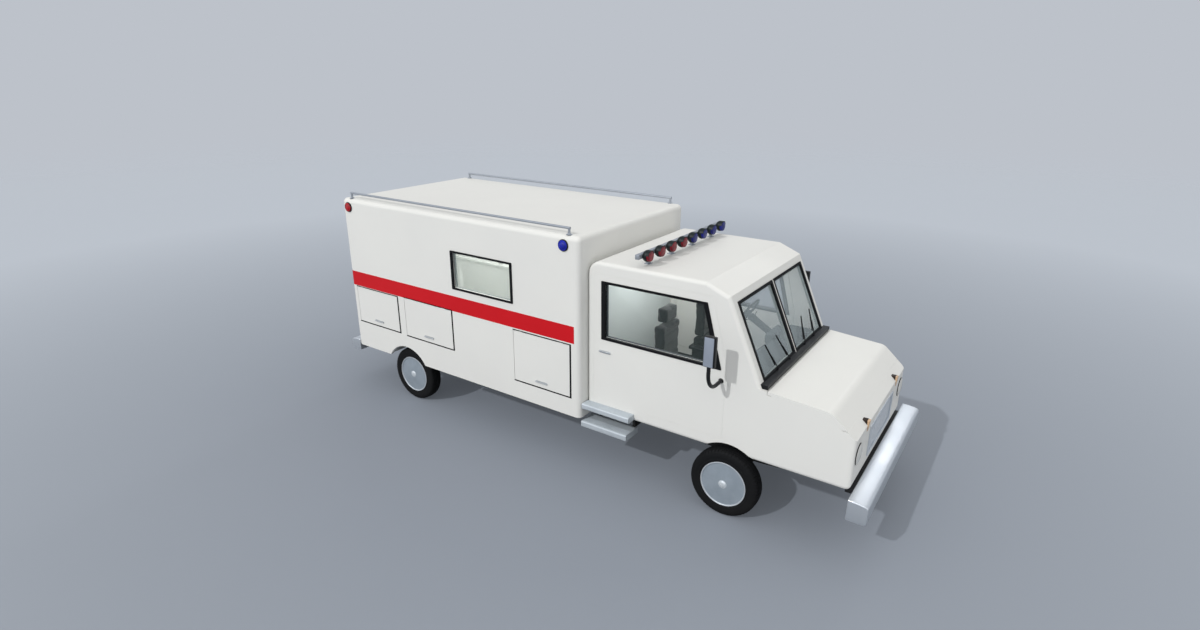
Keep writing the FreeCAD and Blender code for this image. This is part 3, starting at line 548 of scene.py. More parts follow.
LENS_AMBER = LensFinish("lens_amber", "lamp_front", (206, 176, 144), (170, 134, 98), 0.4, coat=0.1, drift=0.5,
                        glow=0.03)
LENS_CLEAR = LensFinish("lens_clear", "lamp_front", (214, 216, 214), (200, 203, 202), 0.25, coat=0.4, drift=0.5,
                        drift_scale=10.0, specular=0.5)
BLANK_PLATE = Finish("blank_plate", "body_paint", (206, 205, 198), (196, 195, 188), 0.5, drift_scale=6.0)
LIGHT_PANEL = LensFinish("light_panel", "liner", (240, 242, 240), (232, 236, 235), 0.5, coat=0.0, drift=0.5,
                         drift_scale=2.0, grain_depth=0.3, glow=5.0, specular=0.5)


# ---- shapes
def inset(outline: Sequence[Point], distances: Sequence[float]) -> list[Point]:
    """Move each edge of an outline inwards.

    Args:
        outline: The corners, either way round.
        distances: How far each edge moves; edge i runs from corner i to the next.

    Returns:
        The new corners.
    """
    count = len(outline)
    area = sum(outline[i][0] * outline[(i + 1) % count][1] - outline[(i + 1) % count][0] * outline[i][1]
               for i in range(count))
    turn = 1.0 if area > 0 else -1.0
    lines = []
    for i, (x0, z0) in enumerate(outline):
        x1, z1 = outline[(i + 1) % count]
        length = math.hypot(x1 - x0, z1 - z0)
        dx, dz = (x1 - x0) / length, (z1 - z0) / length
        lines.append((x0 - dz * turn * distances[i], z0 + dx * turn * distances[i], dx, dz))
    corners = []
    for i in range(count):
        ax, az, adx, adz = lines[i - 1]
        bx, bz, bdx, bdz = lines[i]
        share = ((bx - ax) * bdz - (bz - az) * bdx) / (adx * bdz - adz * bdx)
        corners.append((ax + adx * share, az + adz * share))
    return corners


def softened(outline: Sequence[Point], radius: float, steps: int = 4) -> list[Point]:
    """Round an outline's corners with arcs.

    Args:
        outline: The corners.
        radius: The arcs' radius.
        steps: Spans in each arc.

    Returns:
        The points of the rounded outline.
    """
    points = []
    for i, corner in enumerate(outline):
        here = Vector(corner)
        back = (Vector(outline[i - 1]) - here).normalized()
        ahead = (Vector(outline[(i + 1) % len(outline)]) - here).normalized()
        half = math.acos(max(-1.0, min(1.0, back.dot(ahead)))) / 2.0
        centre = here + (back + ahead).normalized() * (radius / math.sin(half))
        start, end = here + back * (radius / math.tan(half)), here + ahead * (radius / math.tan(half))
        a, b = start - centre, end - centre
        sweep = math.atan2(a.x * b.y - a.y * b.x, a.dot(b))
        for step in range(steps + 1):
            turn = sweep * step / steps
            c, s = math.cos(turn), math.sin(turn)
            points.append((centre.x + a.x * c - a.y * s, centre.y + a.x * s + a.y * c))
    return points


def rectangle(left: float, right: float, low: float, high: float) -> list[Point]:
    """The corners of a rectangle."""
    return [(left, low), (right, low), (right, high), (left, high)]


@dataclass(frozen=True)
class Plane:
    """A flat face to build on: a corner, two directions in it, and the way out of it."""

    origin: Vector
    across: Vector
    up: Vector
    out: Vector

    def at(self, a: float, b: float, height: float = 0.0) -> Vector:
        """The point at two distances in the face and a height above it."""
        return self.origin + self.across * a + self.up * b + self.out * height

    @staticmethod
    def flank(side: Side, distance: float) -> "Plane":
        """A side face of the vehicle, with X across and Z up."""
        return Plane(Vector((0, side.y(distance), 0)), Vector((1, 0, 0)), Vector((0, 0, 1)),
                     Vector((0, side.value, 0)))

    @staticmethod
    def end(x: float, out: float) -> "Plane":
        """A front or rear face of the vehicle, with Y across and Z up."""
        return Plane(Vector((x, 0, 0)), Vector((0, 1, 0)), Vector((0, 0, 1)), Vector((out, 0, 0)))

    @staticmethod
    def level(z: float, out: float = 1.0) -> "Plane":
        """A level face that looks up or down, with X across."""
        return Plane(Vector((0, 0, z)), Vector((1, 0, 0)), Vector((0, out, 0)), Vector((0, 0, out)))

    def inward(self, depth: float) -> "Plane":
        """The face this far in, looking the other way."""
        return Plane(self.at(0, 0, -depth), self.across, self.up, -self.out)


class Shape:
    """A mesh in the making, which ends as one named piece."""

    def __init__(self, name: str) -> None:
        """Start an empty mesh for the piece of this name."""
        self.name = name
        self.mesh = bmesh.new()

    def rings(self, loops: Sequence[Sequence[Vector]], closed: bool = False, caps: bool = True) -> "Shape":
        """Skin a run of loops that have the same number of points.

        Args:
            loops: The loops, in order.
            closed: Whether the last joins the first.
            caps: Whether open ends are filled.

        Returns:
            This shape.
        """
        rows = [[self.mesh.verts.new(point) for point in loop] for loop in loops]
        pairs = list(zip(rows, rows[1:])) + ([(rows[-1], rows[0])] if closed else [])
        for low, high in pairs:
            for i in range(len(low)):
                j = (i + 1) % len(low)
                self.mesh.faces.new((low[i], low[j], high[j], high[i]))
        if caps and not closed:
            self.mesh.faces.new(reversed(rows[0]))
            self.mesh.faces.new(rows[-1])
        return self

    def slab(self, plane: Plane, outline: Sequence[Point], base: float, top: float, edge: float = 0.002,
             corner: float = 0.0, back: float = 0.0) -> "Shape":
        """A plate with a rounded front edge.

        Args:
            plane: The face it is built on.
            outline: Its corners.
            base: The height of its back.
            top: The height of its front.
            edge: The radius of the front edge.
            corner: The radius of its corners, or 0 for sharp ones.
            back: The radius of the back edge, or 0 for a sharp one.

        Returns:
            This shape.
        """
        stages = [(edge * (1.0 - math.cos(a)), top - edge * (1.0 - math.sin(a)))
                  for a in (0.0, math.pi / 6, math.pi / 3)]
        stages.append((edge, top))
        if back:
            stages = [(back, base), (back * 0.3, base + back * 0.3), (0.0, base + back)] + stages
        else:
            stages = [(0.0, base)] + stages
        loops = []
        for move, height in stages:
            points = inset(outline, [move] * len(outline))
            if corner:
                points = softened(points, max(corner - move, 0.0005))
            loops.append([plane.at(a, b, height) for a, b in points])
        return self.rings(loops)

    def border(self, plane: Plane, outline: Sequence[Point], widths: Sequence[float],
               section: Sequence[Spot], corner: float = 0.0) -> "Shape":
        """A frame of constant section round an outline.

        Args:
            plane: The face it is built on.
            outline: Its outer corners.
            widths: The frame's width along each edge.
            section: Points round the section, each (share of the width, further in by, height).
            corner: The radius of the outer corners, or 0 for mitred ones.

        Returns:
            This shape.
        """
        loops = []
        for share, extra, height in section:
            moves = [share * width + extra for width in widths]
            points = inset(outline, moves)
            if corner:
                points = softened(points, max(corner - min(moves), 0.002))
            loops.append([plane.at(a, b, height) for a, b in points])
        return self.rings(loops, closed=True)

    def block(self, low: Sequence[float], high: Sequence[float], edge: float = 0.003) -> "Shape":
        """A box between two corners with all its edges rounded.

        Args:
            low: The lowest corner.
            high: The highest corner.
            edge: The edges' radius.

        Returns:
            This shape.
        """
        fresh = bmesh.ops.create_cube(self.mesh, size=1.0)["verts"]
        low_v, high_v = Vector(low), Vector(high)
        for vert in fresh:
            vert.co = Vector(((low_v[k] + high_v[k]) / 2 + vert.co[k] * (high_v[k] - low_v[k])
                              for k in range(3)))
        edges = list({e for vert in fresh for e in vert.link_edges})
        bmesh.ops.bevel(self.mesh, geom=edges, offset=edge, segments=2, profile=0.5, affect="EDGES")
        return self

    def tube(self, path: Sequence[Vector], radius: "float | Sequence[float]", sides: int = 14) -> "Shape":
        """A round bar along a path.

        Args:
            path: Points along its middle.
            radius: Its radius, or one for each point.
            sides: Points round it.

        Returns:
            This shape.
        """
        points = [Vector(p) for p in path]
        sizes = [radius] * len(points) if isinstance(radius, float) else list(radius)
        ahead = (points[1] - points[0]).normalized()
        aside = ahead.orthogonal().normalized()
        loops = []
        for i, point in enumerate(points):
            before = (point - points[i - 1]).normalized() if i else ahead
            after = (points[i + 1] - point).normalized() if i + 1 < len(points) else before
            along = (before + after).normalized()
            aside = (aside - along * aside.dot(along)).normalized()
            third = along.cross(aside)
            loops.append([point + (aside * math.cos(t) + third * math.sin(t)) * sizes[i]
                          for t in (math.tau * k / sides for k in range(sides))])
        return self.rings(loops)

    def lathe(self, centre: Sequence[float], axis: Sequence[float], profile: Sequence[Point],
              segments: int = 48) -> "Shape":
        """Turn a profile about an axis.

        Args:
            centre: A point on the axis.
            axis: The axis's direction.
            profile: Points, each (distance along the axis, radius).
            segments: Spans round the axis.

        Returns:
            This shape.
        """
        middle, along = Vector(centre), Vector(axis).normalized()
        aside = along.orthogonal().normalized()
        third = along.cross(aside)
        loops = []
        for distance, radius in profile:
            size = max(radius, 1e-5)
            loops.append([middle + along * distance + (aside * math.cos(t) + third * math.sin(t)) * size
                          for t in (math.tau * k / segments for k in range(segments))])
        return self.rings(loops)

    def mirrored(self) -> "Shape":
        """Add the same shape on the other side of the vehicle.

        Returns:
            This shape.
        """
        copy = bmesh.ops.duplicate(self.mesh, geom=self.mesh.verts[:] + self.mesh.edges[:] + self.mesh.faces[:])
        for item in copy["geom"]:
            if isinstance(item, bmesh.types.BMVert):
                item.co.y = -item.co.y
        return self

    def piece(self, finish: Finish, body: str = "chassis", replaces: Sequence[str] = (),
              smooth: float = 35.0) -> bpy.types.Object:
        """Finish the mesh as a piece that rides on a body.

        Args:
            finish: Its surface.
            body: The body that carries it.
            replaces: Frame nodes that it stands for.
            smooth: The angle in degrees above which an edge stays sharp.

        Returns:
            The piece.
        """
        bmesh.ops.remove_doubles(self.mesh, verts=self.mesh.verts[:], dist=1e-6)
        bmesh.ops.dissolve_degenerate(self.mesh, edges=self.mesh.edges[:], dist=1e-7)
        bmesh.ops.recalc_face_normals(self.mesh, faces=self.mesh.faces[:])
        data = bpy.data.meshes.new(self.name)
        self.mesh.to_mesh(data)
        self.mesh.free()
        data.polygons.foreach_set("use_smooth", [True] * len(data.polygons))
        data.set_sharp_from_angle(angle=math.radians(smooth))
        data.materials.append(finish.material())
        made = placed(self.name, data)
        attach(made, body)
        if replaces:
            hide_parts(*replaces)
        LOG.info("%s: %d faces on %s", self.name, len(data.polygons), body)
        return made


def arc(centre: Vector, start: Vector, end: Vector, steps: int = 8) -> list[Vector]:
    """Points on the arc between two directions of equal length from a centre.

    Args:
        centre: The arc's centre.
        start: From the centre to the first point.
        end: From the centre to the last point.
        steps: Spans in the arc.

    Returns:
        The points, both ends included.
    """
    half = start.angle(end)
    return [centre + (start * math.sin(half * (1 - k / steps)) + end * math.sin(half * k / steps))
            / math.sin(half) for k in range(steps + 1)]


def gasket(height: float, depth: float, lip: float = 0.004, edge: float = 0.002) -> list[Spot]:
    """A window gasket's section: a flat band outside the panel with a lip that goes in to the glass.

    Args:
        height: How far the band stands out.
        depth: How far in the lip reaches.
        lip: The lip's thickness.
        edge: The band's edge radius.

    Returns:
        Section points for a border.
    """
    return [(0, 0, 0.0), (0, 0, height - edge), (0, edge, height), (1, -edge, height), (1, 0, height - edge),
            (1, 0, -depth), (1, -lip, -depth), (1, -lip, 0.0)]


# ---- studio
@dataclass(frozen=True)
class Lamp:
    """A far lamp: its strength, how wide it looks in degrees, and the way its light goes."""

    name: str
    strength: float
    angle: float
    travel: Spot

    def build(self) -> None:
        """Add the lamp."""
        data = bpy.data.lights.new(self.name, "SUN")
        data.energy, data.angle = self.strength, math.radians(self.angle)
        made = placed(self.name, data)
        made.rotation_euler = Vector(self.travel).to_track_quat("-Z", "Y").to_euler()
        made.location = Vector(self.travel) * -12.0


@dataclass
class Studio:
    """Camera, light and a plain pale floor: one key among wide soft lamps, and a low one along bright edges."""

    camera_at: Spot = (4.5122, -6.6863, 4.3730)
    azimuth: float = 34.2031
    elevation: float = 19.9943
    roll: float = 0.3664
    lens: float = 20.266
    sensor: float = 36.0
    clip_end: float = 300.0
    lamps: tuple[Lamp, ...] = (
        Lamp("key", 1.4, 1.2, (0.35, 1.3, -1.0)),
        Lamp("side", 0.75, 100.0, (0.25, 1.0, -0.25)),
        Lamp("front", 0.65, 100.0, (-1.0, 0.15, -0.20)),
        Lamp("top", 0.30, 70.0, (-0.15, -0.1, -1.0)),
        Lamp("edge", 0.17, 11.0, (0.02, -0.86, -0.49)),
    )
    sky_strength: float = 0.54
    floor_glow: float = 0.22
    near_colour: Colour = (128, 134, 143)
    far_colour: Colour = (168, 174, 182)
    sky_colour: Colour = (189, 194, 202)
    floor_radius: float = 80.0
    tone_from: float = 3.0
    tone_to: float = 16.0
    fade_from: float = 10.0
    fade_to: float = 50.0

    def build(self) -> None:
        """Make everything."""
        self.camera()
        for lamp in self.lamps:
            lamp.build()
        self.world()
        self.floor()
        bpy.context.scene.view_settings.view_transform = "Standard"

    def camera(self) -> None:
        """The camera at its standing point."""
        az, el, roll = (math.radians(v) for v in (self.azimuth, self.elevation, self.roll))
        back = Vector((math.sin(az) * math.cos(el), -math.cos(az) * math.cos(el), math.sin(el)))
        right = (-back).cross(Vector((0, 0, 1))).normalized()
        up = right.cross(-back)
        turned_right = right * math.cos(roll) + up * math.sin(roll)
        turned_up = up * math.cos(roll) - right * math.sin(roll)
        data = bpy.data.cameras.new("camera")
        data.lens, data.sensor_width, data.clip_end = self.lens, self.sensor, self.clip_end
        made = placed("camera", data)
        made.matrix_world = Matrix((turned_right, turned_up, back)).transposed().to_4x4()
        made.location = self.camera_at
        bpy.context.scene.camera = made

    def world(self) -> None:
        """An even sky for light, which the camera, gloss and glass see as the pale background."""
        world = bpy.data.worlds.new("sky")
        world.use_nodes = True
        bpy.context.scene.world = world
        graph = Graph(world.node_tree)
        path = graph.add("LightPath").outputs
        seen = graph.maths("MAXIMUM", path["Is Camera Ray"], path["Is Transmission Ray"])
        seen = graph.maths("MAXIMUM", seen, path["Is Glossy Ray"])
        colour = graph.mix(seen, (1.0, 1.0, 1.0, 1.0), linear(self.sky_colour))
        strength = graph.maths("MULTIPLY_ADD", seen, 1.0 - self.sky_strength, self.sky_strength)
        graph.feed(world.node_tree.nodes["Background"], {"Color": colour, "Strength": strength})

    def floor(self) -> None:
        """A wide floor, a little deeper in tone near the vehicle and fading into the background far out."""
        mesh = bmesh.new()
        bmesh.ops.create_circle(mesh, cap_ends=True, radius=self.floor_radius, segments=96)
        data = bpy.data.meshes.new("studio_floor")
        mesh.to_mesh(data)
        mesh.free()
        made, graph, shader = shaded("studio_floor")
        place = graph.place()
        far = graph.add("VectorMath", {0: place}, operation="LENGTH").outputs["Value"]
        tone = graph.add("MapRange", {0: far, 1: self.tone_from, 2: self.tone_to, 3: 0.0, 4: 1.0})
        noise = graph.add("TexNoise", {"Vector": place, "Scale": 0.35, "Detail": 3.0})
        share = graph.maths("MULTIPLY_ADD", noise.outputs[0], 0.03, tone.outputs[0])
        colour = graph.mix(share, linear(self.near_colour), linear(self.far_colour))
        seen = graph.add("LightPath").outputs["Is Camera Ray"]
        fade = graph.add("MapRange", {0: far, 1: self.fade_from, 2: self.fade_to, 3: 1.0, 4: 0.0},
                         interpolation_type="SMOOTHSTEP")
        graph.feed(shader, {"Base Color": colour, "Emission Color": colour, "Roughness": 1.0,
                            "Specular IOR Level": 0.0, "Alpha": fade.outputs[0],
                            "Emission Strength": graph.maths("MULTIPLY", seen, self.floor_glow)})
        data.materials.append(made)
        placed("studio_floor", data)


# ---- frame nodes
def both(*names: str) -> list[str]:
    """Each name for the right side and for the left."""
    return [name + "_" + side.label for name in names for side in Side]


@dataclass
class PaintShop:
    """Gives every frame node that stays its finish."""

    finishes: tuple[tuple[Finish, tuple[str, ...]], ...] = (
        (WHITE, ("box_roof", "box_end_walls", "cab_roof", "nose_panel", "hood",
                 *both("box_side", "cab_side", "cab_door", "rear_door", "rear_locker_door",
                       "middle_locker_door", "front_locker_door"))),
        (LINING, ("box_floor",)),
        (LOCKER_LINING, ("lockers",)),
        (CHASSIS_BLACK, ("frame", "body_mounts", "front_axle", "rear_axle", "fuel_tank", "cab_floor")),
        (DARK_STEEL, ("engine", "propshaft", "exhaust", *both("knuckle"))),
        (POLISHED, ("bumpers",)),
        (STEP_METAL, ("side_steps",)),
        (RAIL_GREY, ("roof_rails",)),
        (BLACK_PLASTIC, ("cowl_bar",)),
        (DASH_PLASTIC, ("dashboard", "steering_wheel")),
        (SCREEN_GLASS, ("windscreen_glass",)),
        (GLASS, ("box_window_glass", *both("cab_glass", "rear_glass"))),
    )

    def build(self) -> None:
        """Put each finish on its nodes."""
        for finish, nodes in self.finishes:
            for node in nodes:
                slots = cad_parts[node].data.materials
                slots.clear()
                slots.append(finish.material())
                LOG.info("%s: %s", node, finish.name)


# ---- box body
@dataclass
class BoxTrim:
    """Stripe, side windows and lamps of the box."""

    stripe_low: float = 1.523
    stripe_high: float = 1.725
    stripe_front: float = 0.406
    corner_radius: float = 0.060
    stripe_turn: float = 56.0
    stripe_steps: int = 6
    film: float = 0.0012
    window: Span = (-1.450, -0.466, 1.818, 2.308)
    window_bars: Span = (0.024, 0.034, 0.024, 0.038)
    wall: float = 0.050
    lamp_radius: float = 0.066
    corner_spots: tuple[tuple[str, float, float, Finish], ...] = (
        ("rear", -3.330, 2.618, LENS_RED), ("front", 0.275, 2.622, LENS_BLUE))
    tail: Span = (0.940, 1.050, 0.900, 1.260)
    tail_bands: tuple[tuple[float, float, Finish, str], ...] = (
        (0.906, 1.054, LENS_RED, "stop"), (1.060, 1.154, LENS_AMBER, "turn"),
        (1.160, 1.254, LENS_CLEAR, "reverse"))

    def build(self) -> None:
        """Make the trim of both sides."""
        self.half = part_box("box_side_left")[1][1]
        self.rear = round(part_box("box_roof")[0][0], 2)
        for side in Side:
            self.stripe(side)
            self.window_frame(side)
        self.corner_lamps()
        self.tail_lamps()

    def stripe(self, side: Side) -> None:
        """A thin red band that starts round the rear corner.

        Args:
            side: The side it is on.
        """
        reach, centre_y = self.corner_radius + self.film, self.half - self.corner_radius
        turns = [math.radians(self.stripe_turn) * k / self.stripe_steps for k in range(self.stripe_steps, -1, -1)]
        stations = [(self.rear + self.corner_radius - reach * math.sin(turn), centre_y + reach * math.cos(turn))
                    for turn in turns]
        stations.append((self.stripe_front, self.half + self.film))
        low, high, back = self.stripe_low, self.stripe_high, 2 * self.film
        corners = ((low, 0), (high, 0), (high, back), (low, back))
        loops = [[Vector((x, side.y(y - deep), z)) for z, deep in corners] for x, y in stations]
        Shape("side_stripe_" + side.label).rings(loops).piece(RED_VINYL)

    def window_frame(self, side: Side) -> None:
        """A black gasket round the side window, and a grey trim inside.

        Args:
            side: The side it is on.
        """
        plane, outline = Plane.flank(side, self.half), rectangle(*self.window)
        Shape("box_window_gasket_" + side.label).border(
            plane, outline, self.window_bars, gasket(0.010, 0.006), corner=0.012).piece(BLACK_RUBBER)
        Shape("box_window_trim_" + side.label).border(
            plane.inward(self.wall), outline, self.window_bars, gasket(0.008, 0.020),
            corner=0.012).piece(SEAL_GREY)

    def corner_lamps(self) -> None:
        """Round warning lamps high on the sides, red behind and blue in front."""
        r, replaces = self.lamp_radius, ["box_lamps"]
        for label, x, z, finish in self.corner_spots:
            for side in Side:
                centre, out = (x, side.y(self.half), z), (0, side.value, 0)
                name = "%s_corner_lamp_%s" % (label, side.label)
                Shape(name + "_base").lathe(centre, out, [
                    (0.0, 0.0), (0.0, r), (0.010, r), (0.014, r - 0.003), (0.014, r - 0.010), (0.008, r - 0.012),
                    (0.008, 0.0)]).piece(BLACK_PLASTIC, replaces=replaces)
                replaces = []
                Shape(name).lathe(centre, out, [
                    (0.006, 0.0), (0.006, r - 0.009), (0.018, r - 0.009), (0.023, r - 0.013), (0.024, r - 0.022),
                    (0.020, r - 0.025), (0.026, r - 0.030), (0.032, 0.020), (0.033, 0.0)]).piece(finish)

    def tail_lamps(self) -> None:
        """Red, amber and clear lenses in one upright housing on each side."""
        plane = Plane.end(self.rear, -1.0)
        near, far, foot, head = self.tail
        for side in Side:
            inner, outer = sorted((side.y(near), side.y(far)))
            Shape("tail_lamp_housing_" + side.label).slab(
                plane, rectangle(inner, outer, foot, head), 0.0, 0.016, 0.004, corner=0.012).piece(BLACK_PLASTIC)
            for low, high, finish, label in self.tail_bands:
                Shape("tail_lamp_%s_%s" % (label, side.label)).slab(
                    plane, rectangle(inner + 0.006, outer - 0.006, low, high), 0.010, 0.027, 0.008,
                    corner=0.008).piece(finish)


@dataclass
class LockerTrim:
    """Seals, black strips beside them that paint the gaps' shadow, and handles of the lift-up locker doors."""

    lockers: tuple[str, ...] = ("rear", "middle", "front")
    half: float = 1.150
    # Widths of the black strips beside each door. They are partly the dark joint and partly a painted shadow of
    # the gap, and are wider along the front edge.
    line: float = 0.011
    front_line: float = 0.019
    gap: float = 0.006
    handle_width: float = 0.175
    handle_rise: float = 0.068
    lining: float = 0.650
    lined: Span = (-3.380, 0.400, 0.860, 1.545)

    def build(self) -> None:
        """Make the trim of every locker door."""
        for side in Side:
            for label in self.lockers:
                self.trim("%s_locker_door_%s" % (label, side.label), side)
            self.cladding(side)

    def cladding(self, side: Side) -> None:
        """A lining over the lockers' backs inside the box, with a worktop edge along it.

        Args:
            side: The side it is on.
        """
        rear, front, foot, head = self.lined
        plane = Plane.flank(side, 0.0)
        Shape("locker_cladding_" + side.label).slab(
            plane, rectangle(rear, front, foot, head), self.lining - 0.016, self.lining - 0.001,
            0.003).piece(LOCKER_LINING)
        Shape("locker_worktop_" + side.label).slab(
            plane, rectangle(rear, front, head, head + 0.030), self.lining - 0.034, self.lining + 0.010,
            0.006).piece(LINING)

    def trim(self, node: str, side: Side) -> None:
        """The seal round one door, the black strips beside it, which are partly its dark joint and partly a
        painted shadow of the gap, and its handle.

        Args:
            node: The door's frame node.
            side: Its side.
        """
        low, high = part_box(node)
        top = high[2] - 0.0056
        plane = Plane.flank(side, self.half)
        edge = self.gap - 0.0004
        rear, front, foot, head = low[0] - edge, high[0] + edge, low[2] - edge, top + edge
        section = [(0, 0, -0.034), (0, 0, -0.011), (0, 0.001, -0.010), (1, -0.001, -0.010), (1, 0, -0.011),
                   (1, 0, -0.034)]
        seal = Shape(node + "_seal").border(plane, rectangle(rear, front, foot, head), [0.0046] * 4, section)
        # Black strips on the panel along the front, bottom and top of the gap: partly the dark joint, partly a
        # painted shadow of the gap, widest at the front; none along the rear edge.
        for strip in (rectangle(front - 0.005, front + self.front_line, foot - self.line, head + self.line),
                      rectangle(rear - 0.003, front - 0.0045, foot - self.line, foot + 0.004),
                      rectangle(rear - 0.003, front - 0.0045, head - 0.001, head + self.line)):
            seal.slab(plane, strip, -0.003, 0.0012, 0.0006)
        seal.piece(BLACK_RUBBER)
        self.handle(node, plane, (low[0] + high[0]) / 2, low[2] + self.handle_rise)

    def handle(self, node: str, plane: Plane, x: float, z: float) -> None:
        """A slim pull on a backing plate.

        Args:
            node: The door that carries it.
            plane: The face it stands on.
            x: Its middle.
            z: Its height.
        """
        w = self.handle_width / 2
        Shape(node + "_handle_plate").slab(
            plane, rectangle(x - w, x + w, z - 0.011, z + 0.011), 0.0, 0.002, 0.001,
            corner=0.005).piece(HANDLE_METAL, node)
        grip = Shape(node + "_handle")
        for end in (-1, 1):
            foot = x + end * (w - 0.016)
            grip.slab(plane, rectangle(foot - 0.009, foot + 0.009, z - 0.005, z + 0.005), 0.001, 0.017, 0.002)
        grip.slab(plane, rectangle(x - w + 0.004, x + w - 0.004, z - 0.0065, z + 0.0065), 0.013, 0.021, 0.003,
                  corner=0.006, back=0.002)
        grip.piece(HANDLE_METAL, node)


@dataclass
class RearTrim:
    """Frames, handles, hinges and the step of the rear doors, with the blank plate."""

    face: float = -3.460
    window: Span = (0.210, 0.650, 1.760, 2.260)
    bar: float = 0.026
    lever_y: float = 0.110
    hinge_heights: Spot = (0.908, 1.608, 2.308)
    strap: Point = (0.700, 0.846)
    bolts: Point = (0.725, 0.815)
    doorway: Span = (-0.866, 0.866, 0.693, 2.529)
    markers: Spot = (-0.9, 0.0, 0.9)
    plate_span: Span = (0.935, 1.085, 1.330, 1.420)
    step_z: float = 0.673
    tread: Span = (-3.620, -3.510, -0.800, 0.800)
    tread_ribs: int = 9
    tread_pitch: float = 0.0118

    def build(self) -> None:
        """Make both doors' trim."""
        self.plane = Plane.end(self.face, -1.0)
        for side in Side:
            self.door(side)
        self.surround()
        self.plate()
        self.step()

    def door(self, side: Side) -> None:
        """The trim that one door carries.

        Args:
            side: The side it is on.
        """
        body, plane = "rear_door_" + side.label, self.plane
        y0, y1, z0, z1 = self.window
        grow = self.bar - 0.004
        left, right = sorted((side.y(y0 - grow), side.y(y1 + grow)))
        Shape(body + "_gasket").border(
            plane, rectangle(left, right, z0 - grow, z1 + grow), [self.bar] * 4, gasket(0.009, 0.020),
            corner=0.030).piece(BLACK_RUBBER, body)
        lever, y = Shape(body + "_handle"), side.y(self.lever_y)
        lever.slab(plane, rectangle(y - 0.022, y + 0.022, 1.290, 1.510), 0.0, 0.006, 0.002, corner=0.012)
        lever.slab(plane, rectangle(y - 0.010, y + 0.010, 1.310, 1.345), 0.004, 0.030, 0.004)
        lever.slab(plane, rectangle(y - 0.012, y + 0.012, 1.310, 1.490), 0.022, 0.034, 0.005, corner=0.010,
                   back=0.004)
        lever.piece(CHROME, body)
        straps, bolts = Shape(body + "_hinge_straps"), Shape(body + "_hinge_bolts")
        near, far = sorted(side.y(y) for y in self.strap)
        for z in self.hinge_heights:
            straps.slab(plane, rectangle(near, far, z - 0.022, z + 0.022), 0.0, 0.005, 0.002, corner=0.018)
            for y in self.bolts:
                bolts.lathe((self.face - 0.005, side.y(y), z), (-1, 0, 0),
                            [(0, 0), (0, 0.008), (0.003, 0.007), (0.004, 0.0)], segments=12)
        straps.piece(STEP_METAL, body)
        bolts.piece(CHROME, body)
        low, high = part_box(body)
        near, far = sorted((side.y(0.0035), side.y(0.0215)))
        Shape(body + "_edge_seal").slab(
            plane, rectangle(near, far, low[2] + 0.004, high[2] - 0.004), 0.0, 0.004,
            0.002).piece(BLACK_RUBBER, body)

    def surround(self) -> None:
        """The doorway's black seal and the marker lamps over it."""
        section = [(0, 0, -0.004), (0, 0, 0.002), (0, 0.002, 0.004), (1, -0.002, 0.004), (1, 0, 0.002),
                   (1, 0, -0.030), (1, -0.003, -0.030), (1, -0.003, -0.004)]
        Shape("rear_doorway_seal").border(
            self.plane, rectangle(*self.doorway), [0.0125] * 4, section).piece(BLACK_RUBBER)
        for index, y in enumerate(self.markers):
            Shape("rear_marker_base_%d" % index).slab(
                self.plane, rectangle(y - 0.062, y + 0.062, 2.578, 2.622), 0.0, 0.006, 0.002,
                corner=0.016).piece(BLACK_PLASTIC)
            Shape("rear_marker_lamp_%d" % index).slab(
                self.plane, rectangle(y - 0.055, y + 0.055, 2.585, 2.615), 0.004, 0.022, 0.009,
                corner=0.014).piece(LENS_RED)

    def plate(self) -> None:
        """A blank number plate beside the doors."""
        Shape("number_plate").slab(
            self.plane, rectangle(*self.plate_span), 0.0, 0.004, 0.001, corner=0.006).piece(BLANK_PLATE)

    def step(self) -> None:
        """A ribbed tread on the rear bumper."""
        tread, level = Shape("rear_step_tread"), Plane.level(self.step_z)
        back, _, right, left = self.tread
        tread.slab(level, rectangle(*self.tread), 0.0, 0.004, 0.001, corner=0.010)
        for k in range(self.tread_ribs):
            x = back + 0.008 + k * self.tread_pitch
            tread.slab(level, rectangle(x, x + 0.006, right + 0.010, left - 0.010), 0.003, 0.007, 0.001)
        tread.piece(BLACK_RUBBER)


